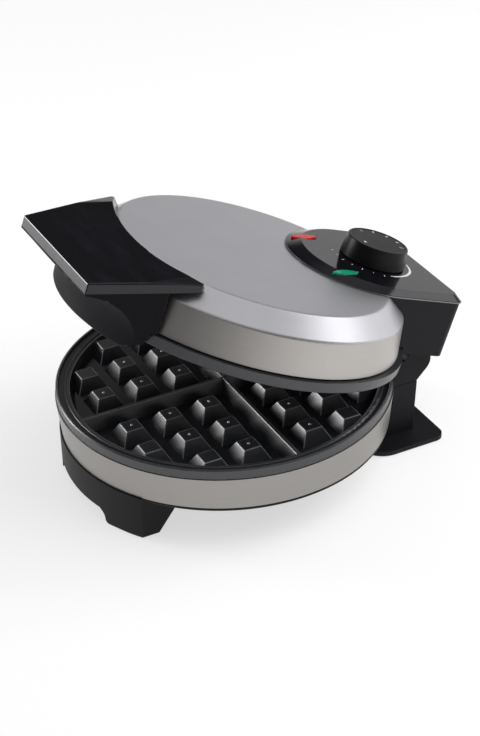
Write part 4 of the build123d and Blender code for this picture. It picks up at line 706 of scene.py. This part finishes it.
class WAFFLE_OT_handle(bpy.types.Operator):
    """Polish the handle's sloping cover"""
    bl_idname = "waffle.handle"
    bl_label = "Handle"

    def execute(self, context):
        edges = context.scene.waffle_edges
        gloss = polished("Polished black", context.scene.waffle_finish.gloss, 0.07)
        rounded("handle_cover", edges.handle, "lid", gloss, steps=4, limit=50.0)
        return {"FINISHED"}


class WAFFLE_OT_steel(bpy.types.Operator):
    """Brush the dome and the band and polish the ring under the panel"""
    bl_idname = "waffle.steel"
    bl_label = "Steel"

    def execute(self, context):
        look = context.scene.waffle_finish
        edges = context.scene.waffle_edges
        # The dome's top takes the disc colour, painted lighter and cooler than the wall as light reflected from
        # above
        dome = domed("Brushed dome with painted light on top", look.steel, look.disc, 0.38, 0.42)
        # The band is the dome's steel painted 0.7 times as dark: painted shade, to tone down the bright floor that
        # it mirrors
        band = brushed("Brushed band painted darker", shade(look.steel, 0.70), 0.40, BASE)
        paint_nodes(dome, "lid_shell")
        rounded("lower_band", edges.steel, "base", band)
        trim = plain_metal("Dark chrome ring", look.trim, 0.26)
        rounded("panel_trim", edges.steel, "lid", trim)
        return {"FINISHED"}


class WAFFLE_OT_plates(bpy.types.Operator):
    """Round and coat the two cooking plates and set the nubs on their grid"""
    bl_idname = "waffle.plates"
    bl_label = "Cooking Plates"

    def execute(self, context):
        look = context.scene.waffle_finish
        edges = context.scene.waffle_edges
        coat = coated("Non-stick coating", look.coating, 0.34)
        # The plates' rounded edges get a coating about ten times as light as the rest: a painted highlight along the
        # edges
        highlight_edge_coat = coated("Coating painted light on the edges", (0.19, 0.19, 0.20), 0.22, amount=0.4)
        rounded("lower_plate", edges.plate, "base", coat, highlight_edge_coat)
        rounded("upper_plate", edges.plate, "lid", coat, highlight_edge_coat)
        # The nubs are coloured a light grey metal
        bright = plain_metal("Light grey nub", (0.75, 0.75, 0.76), 0.25, metallic=0.6)
        self.nubs(context, "grid_nubs_lower", BASE, "base", 1.0, bright)
        self.nubs(context, "grid_nubs_upper", LID, "lid", -1.0, bright)
        return {"FINISHED"}

    def nubs(self, context, name, place, body, way, finish):
        """One small domed nub on the middle of every whole pyramid. The way is 1 on a grid that faces up, or -1."""
        details = context.scene.waffle_details
        middles = [math.copysign(PEAK_FIRST - PEAK_PITCH / 2 + abs(row + 0.5) * PEAK_PITCH, row + 0.5)
                   for row in range(-PEAK_ROWS, PEAK_ROWS)]
        made = []
        for x in middles:
            for y in middles:
                if math.hypot(x, y) > WHOLE_REACH:
                    continue
                bpy.ops.object.select_all(action="DESELECT")
                bpy.ops.mesh.primitive_uv_sphere_add(segments=10, ring_count=6, radius=details.nub_radius,
                                                     location=(x, y, -way * PEAK_TOP))
                one = bpy.context.object
                one.scale.z = details.nub_rise / details.nub_radius
                made.append(one)
        nubs = join(made, name)
        paint(nubs, finish)
        bpy.ops.object.shade_smooth()
        seat(nubs, place, body)


class WAFFLE_OT_panel(bpy.types.Operator):
    """Polish the control panel and print the ring of ticks round the dial"""
    bl_idname = "waffle.panel"
    bl_label = "Control Panel"

    def execute(self, context):
        look = context.scene.waffle_finish
        edges = context.scene.waffle_edges
        details = context.scene.waffle_details
        gloss = polished("Polished panel", look.gloss, 0.09, gloss=0.34)
        rounded("control_panel", edges.panel, "lid", gloss, steps=3, limit=12.0, soft=14.0, clamp=True)
        ink = Finish("White print", look.marks, 0.5)
        grain = ink.group("Moulded Grain", Size=1.5)
        ink.tint(grain.outputs["Sheen"], shade(look.marks, 0.85), look.marks)
        marks = [self.arc(details)]
        for step in range(TICKS):
            marks.append(self.tick(details, TICK_FIRST + TICK_STEP * step, TICK_SHORT if step % 2 else TICK_LONG))
        ring = join(marks, "panel_scale")
        paint(ring, ink)
        seat(ring, LID, "lid")
        return {"FINISHED"}

    def arc(self, details):
        """A printed arc round the knob that widens to its middle."""
        bpy.ops.object.select_all(action="DESELECT")
        bpy.ops.mesh.primitive_grid_add(x_subdivisions=ARC_STEPS, y_subdivisions=1, size=1.0)
        item = bpy.context.object
        for vertex in item.data.vertices:
            share = vertex.co.x + 0.5
            angle = math.radians(ARC_TO - (ARC_TO - ARC_FROM) * share)
            width = ARC_WIDTH * (ARC_TIPS + (1.0 - ARC_TIPS) * math.sin(math.pi * share) ** 0.5)
            vertex.co = on_dial(details.scale_radius + width * vertex.co.y, angle, PANEL_H)
        return thicken(item, details.print_rise)

    def tick(self, details, angle, length):
        """A short printed stroke that points at the knob's axis."""
        bpy.ops.object.select_all(action="DESELECT")
        turn = math.radians(angle)
        bpy.ops.mesh.primitive_plane_add(size=1.0, rotation=(0.0, 0.0, turn),
                                         location=on_dial(details.scale_radius + length / 2, turn, PANEL_H))
        item = bpy.context.object
        item.scale = (length, TICK_WIDTH, 1.0)
        bpy.ops.object.transform_apply(location=True, rotation=True, scale=True)
        return thicken(item, details.print_rise)


class WAFFLE_OT_knob(bpy.types.Operator):
    """Finish the knob and print plain numbers and a pointer on its top"""
    bl_idname = "waffle.knob"
    bl_label = "Knob"

    def execute(self, context):
        look = context.scene.waffle_finish
        edges = context.scene.waffle_edges
        details = context.scene.waffle_details
        side = moulded("Knob skirt", shade(look.plastic, 0.9), 0.34, size=1.4, strength=0.2)
        rounded("control_knob", edges.knob, "knob", side)
        top = moulded("Knob inlay", shade(look.plastic, 1.1), 0.42, size=1.4, strength=0.25)
        rounded("knob_cap", edges.knob, "knob", top)
        marks = [self.number(details, value) for value in range(1, NUMBERS + 1)]
        marks.append(self.pointer(details))
        numbers = join(marks, "dial_numbers")
        numbers.data.materials.clear()
        numbers.data.materials.append(bpy.data.materials["White print"])
        seat(numbers, LID, "knob")
        return {"FINISHED"}

    def number(self, details, value):
        """A printed number with its top away from the knob's axis."""
        angle = math.radians(NUMBER_FIRST - NUMBER_STEP * (value - 1))
        bpy.ops.object.select_all(action="DESELECT")
        bpy.ops.object.text_add(rotation=(0.0, 0.0, angle - math.pi / 2))
        item = bpy.context.object
        item.data.body = str(value)
        item.data.size = details.number_size
        item.data.align_x = "CENTER"
        item.data.align_y = "CENTER"
        item.data.extrude = details.print_rise / 2
        item.location = on_dial(KNOB_CAP_R - NUMBER_INSET, angle, KNOB_CAP_H + details.print_rise / 2)
        only(item)
        bpy.ops.object.convert(target="MESH")
        return bpy.context.object

    def pointer(self, details):
        """A small triangle near the knob's edge."""
        angle = math.radians(POINTER_ANGLE)
        bpy.ops.object.select_all(action="DESELECT")
        bpy.ops.mesh.primitive_circle_add(vertices=3, radius=POINTER_R, fill_type="NGON",
                                          rotation=(0.0, 0.0, angle - math.pi / 2),
                                          location=on_dial(KNOB_CAP_R - POINTER_INSET, angle, KNOB_CAP_H))
        return thicken(bpy.context.object, details.print_rise)


class WAFFLE_OT_lenses(bpy.types.Operator):
    """Colour the two pilot lenses and the lamps below them"""
    bl_idname = "waffle.lenses"
    bl_label = "Pilot Lenses"

    def execute(self, context):
        look = context.scene.waffle_finish
        edges = context.scene.waffle_edges
        red = clear("Red lens", look.red)
        green = clear("Green lens", look.green)
        rounded("red_lens", edges.panel, "lid", red, limit=50.0)
        rounded("green_lens", edges.panel, "lid", green, limit=50.0)
        glass = Finish("Lamp glass", (0.8, 0.8, 0.78), 0.1)
        grain = glass.group("Moulded Grain", Size=0.5)
        glass.roughen(grain.outputs["Sheen"], 0.06, 0.2)
        paint_nodes(glass, "pilot_lamps")
        return {"FINISHED"}


class WAFFLE_OT_inside(bpy.types.Operator):
    """Finish the pieces inside the two halves and the fasteners"""
    bl_idname = "waffle.inside"
    bl_label = "Inner Pieces"

    def execute(self, context):
        plated = plain_metal("Zinc plated steel", (0.55, 0.54, 0.50), 0.32)
        paint_nodes(plated, "lower_element_clamps", "upper_element_clamps", "fuse_clamp", "thermostat_bracket",
                    "lid_frame", "lower_clamp_screws", "upper_clamp_screws", "fuse_clamp_screws",
                    "lower_plate_screws", "upper_plate_screws", "thermostat_screw", "rear_housing_screws",
                    "handle_screws", "hinge_block_screws", "rear_stand_screws")
        paint_nodes(plain_metal("Ground pin steel", (0.62, 0.62, 0.62), 0.22), "hinge_pin", "thermostat_shaft")
        paint_nodes(plain_metal("Oxidised element", (0.16, 0.15, 0.14), 0.5, metallic=0.7),
                    "lower_heating_element", "upper_heating_element")
        paint_nodes(plain_metal("Aluminium sheet", (0.72, 0.72, 0.72), 0.4),
                    "lower_heat_shield", "upper_heat_shield", "thermal_fuse")
        paint_nodes(moulded("Fired ceramic", (0.75, 0.73, 0.68), 0.6, size=0.6, strength=0.5),
                    "terminal_block", "lamp_holders")
        paint_nodes(moulded("Brown switch body", (0.10, 0.05, 0.03), 0.5), "thermostat")
        paint_nodes(moulded("Black rubber", (0.02, 0.02, 0.02), 0.75, size=0.7, strength=0.5),
                    "foot_pads", "cord_gland")
        return {"FINISHED"}


class WAFFLE_OT_studio(bpy.types.Operator):
    """Set up the floor, the soft studio light and the camera"""
    bl_idname = "waffle.studio"
    bl_label = "Studio"

    def execute(self, context):
        studio = context.scene.waffle_studio
        context.scene.view_settings.view_transform = "Standard"
        for item in list(bpy.data.objects):
            if item.type in {"CAMERA", "LIGHT"}:
                bpy.data.objects.remove(item)
        self.floor(studio)
        self.room(context, studio)
        key = self.lamp("Key", place=(0.35, 0.62, 1.05), target=(0.0, 0.0, 0.05), size=1.2, power=studio.key)
        key.visible_glossy = False
        self.lamp("Side", place=(-0.95, -0.92, 0.31), target=(0.0, 0.0, 0.07), size=0.5, power=studio.fill)
        self.lamp("Rear", place=(0.20, 1.12, 0.72), target=(0.0, 0.05, 0.06), size=0.5, power=studio.rim)
        self.camera(context, studio)
        return {"FINISHED"}

    def floor(self, studio):
        """A wide pale floor that reads as white but keeps the shadow."""
        bpy.ops.object.select_all(action="DESELECT")
        bpy.ops.mesh.primitive_plane_add(size=FLOOR_SIDE)
        floor = bpy.context.object
        floor.name = "studio_floor"
        finish = Finish("Studio floor", studio.floor, 0.9)
        finish.set("Specular IOR Level", 0.0)
        path = finish.tree.nodes.new("ShaderNodeLightPath")
        seen = math_node(finish.tree, "ADD", path.outputs["Is Camera Ray"], path.outputs["Is Glossy Ray"])
        seen = math_node(finish.tree, "ADD", seen, path.outputs["Is Transmission Ray"], True)
        finish.tint(seen, studio.floor, shade(studio.floor, FLOOR_LIT))
        finish.set("Emission Color", (1.0, 1.0, 1.0, 1.0))
        glow = math_node(finish.tree, "MULTIPLY", seen, FLOOR_GLOW)
        finish.tree.links.new(glow, finish.shader.inputs["Emission Strength"])
        paint(floor, finish)

    def room(self, context, studio):
        """An even room that the camera sees as white.

        In reflections it is pale near the horizon, dark above it and pale again overhead, and dimmer in front.
        """
        world = bpy.data.worlds.new("Studio room")
        context.scene.world = world
        world.use_nodes = True
        tree = world.node_tree
        even = tree.nodes["Background"]
        white = tree.nodes.new("ShaderNodeBackground")
        mirror = tree.nodes.new("ShaderNodeBackground")
        for plain in (even, white):
            plain.inputs["Color"].default_value = (1.0, 1.0, 1.0, 1.0)
        even.inputs["Strength"].default_value = studio.room
        coord = tree.nodes.new("ShaderNodeTexCoord")
        split = tree.nodes.new("ShaderNodeSeparateXYZ")
        tree.links.new(coord.outputs["Generated"], split.inputs[0])
        ramp = tree.nodes.new("ShaderNodeValToRGB")
        stops = ramp.color_ramp.elements
        stops[0].color = (MIRROR_LOW, MIRROR_LOW, MIRROR_LOW, 1.0)
        stops[1].color = (MIRROR_HIGH, MIRROR_HIGH, MIRROR_HIGH, 1.0)
        for height, level in MIRROR_BETWEEN:
            stops.new(height).color = (level, level, level, 1.0)
        tree.links.new(split.outputs["Z"], ramp.inputs["Fac"])
        tree.links.new(ramp.outputs["Color"], mirror.inputs["Color"])
        strength = range_node(tree, split.outputs["Y"], FRONT_Y, REAR_Y, FRONT_STRENGTH, REAR_STRENGTH)
        tree.links.new(strength, mirror.inputs["Strength"])
        path = tree.nodes.new("ShaderNodeLightPath")
        seen = math_node(tree, "ADD", path.outputs["Is Camera Ray"], path.outputs["Is Transmission Ray"], True)
        surface = even.outputs[0]
        for rays, look in ((path.outputs["Is Glossy Ray"], mirror), (seen, white)):
            pick = tree.nodes.new("ShaderNodeMixShader")
            for socket, value in zip(pick.inputs, (rays, surface, look.outputs[0])):
                tree.links.new(value, socket)
            surface = pick.outputs[0]
        tree.links.new(surface, tree.nodes["World Output"].inputs["Surface"])

    def lamp(self, name, place, target, size, power):
        """A square soft lamp that points at a place."""
        bpy.ops.object.light_add(type="AREA", location=place)
        lamp = bpy.context.object
        lamp.name = name + " lamp"
        lamp.data.size = size
        lamp.data.energy = power
        lamp.rotation_euler = (Vector(target) - Vector(place)).to_track_quat("-Z", "Y").to_euler()
        return lamp

    def camera(self, context, studio):
        """The photograph's viewpoint."""
        back = Vector((math.sin(AZIMUTH) * math.cos(RISE), -math.cos(AZIMUTH) * math.cos(RISE), math.sin(RISE)))
        level = Vector((math.cos(AZIMUTH), math.sin(AZIMUTH), 0.0))
        upward = back.cross(level)
        right = level * math.cos(ROLL) + upward * math.sin(ROLL)
        top = upward * math.cos(ROLL) - level * math.sin(ROLL)
        turn = Matrix((right, top, back)).transposed()
        centre = turn @ Vector(CAMERA_PLACE)
        data = bpy.data.cameras.new("Photograph camera")
        data.lens = studio.lens
        data.sensor_width = SENSOR
        data.clip_start, data.clip_end = 0.05, 20.0
        camera = bpy.data.objects.new("Photograph camera", data)
        context.scene.collection.objects.link(camera)
        camera.matrix_world = BASE @ Matrix.Translation(centre) @ turn.to_4x4()
        context.scene.camera = camera


class WAFFLE_PT_panel(bpy.types.Panel):
    """Lists the steps and their settings"""
    bl_label = "Waffle Maker"
    bl_idname = "WAFFLE_PT_panel"
    bl_space_type = "VIEW_3D"
    bl_region_type = "UI"
    bl_category = "Waffle Maker"

    def draw(self, context):
        layout = self.layout
        for operator in STEPS:
            layout.operator(operator.bl_idname)
        for name in GROUPS:
            settings = getattr(context.scene, name)
            box = layout.box()
            for label in settings.bl_rna.properties.keys():
                if label not in {"rna_type", "name"}:
                    box.prop(settings, label)


STEPS = (WAFFLE_OT_studio, WAFFLE_OT_patterns, WAFFLE_OT_housings, WAFFLE_OT_handle, WAFFLE_OT_steel,
         WAFFLE_OT_plates, WAFFLE_OT_panel, WAFFLE_OT_knob, WAFFLE_OT_lenses, WAFFLE_OT_inside)
GROUPS = {"waffle_edges": WAFFLE_PG_edges, "waffle_details": WAFFLE_PG_details,
          "waffle_finish": WAFFLE_PG_finish, "waffle_studio": WAFFLE_PG_studio}


def register():
    for group in GROUPS.values():
        bpy.utils.register_class(group)
    for step in STEPS:
        bpy.utils.register_class(step)
    bpy.utils.register_class(WAFFLE_PT_panel)
    for name, group in GROUPS.items():
        setattr(bpy.types.Scene, name, bpy.props.PointerProperty(type=group))


def unregister():
    for name in GROUPS:
        delattr(bpy.types.Scene, name)
    bpy.utils.unregister_class(WAFFLE_PT_panel)
    for step in reversed(STEPS):
        bpy.utils.unregister_class(step)
    for group in reversed(GROUPS.values()):
        bpy.utils.unregister_class(group)


def main():
    register()
    bpy.ops.waffle.studio()
    bpy.ops.waffle.patterns()
    bpy.ops.waffle.housings()
    bpy.ops.waffle.handle()
    bpy.ops.waffle.steel()
    bpy.ops.waffle.plates()
    bpy.ops.waffle.panel()
    bpy.ops.waffle.knob()
    bpy.ops.waffle.lenses()
    bpy.ops.waffle.inside()


if __name__ == "__main__":
    main()
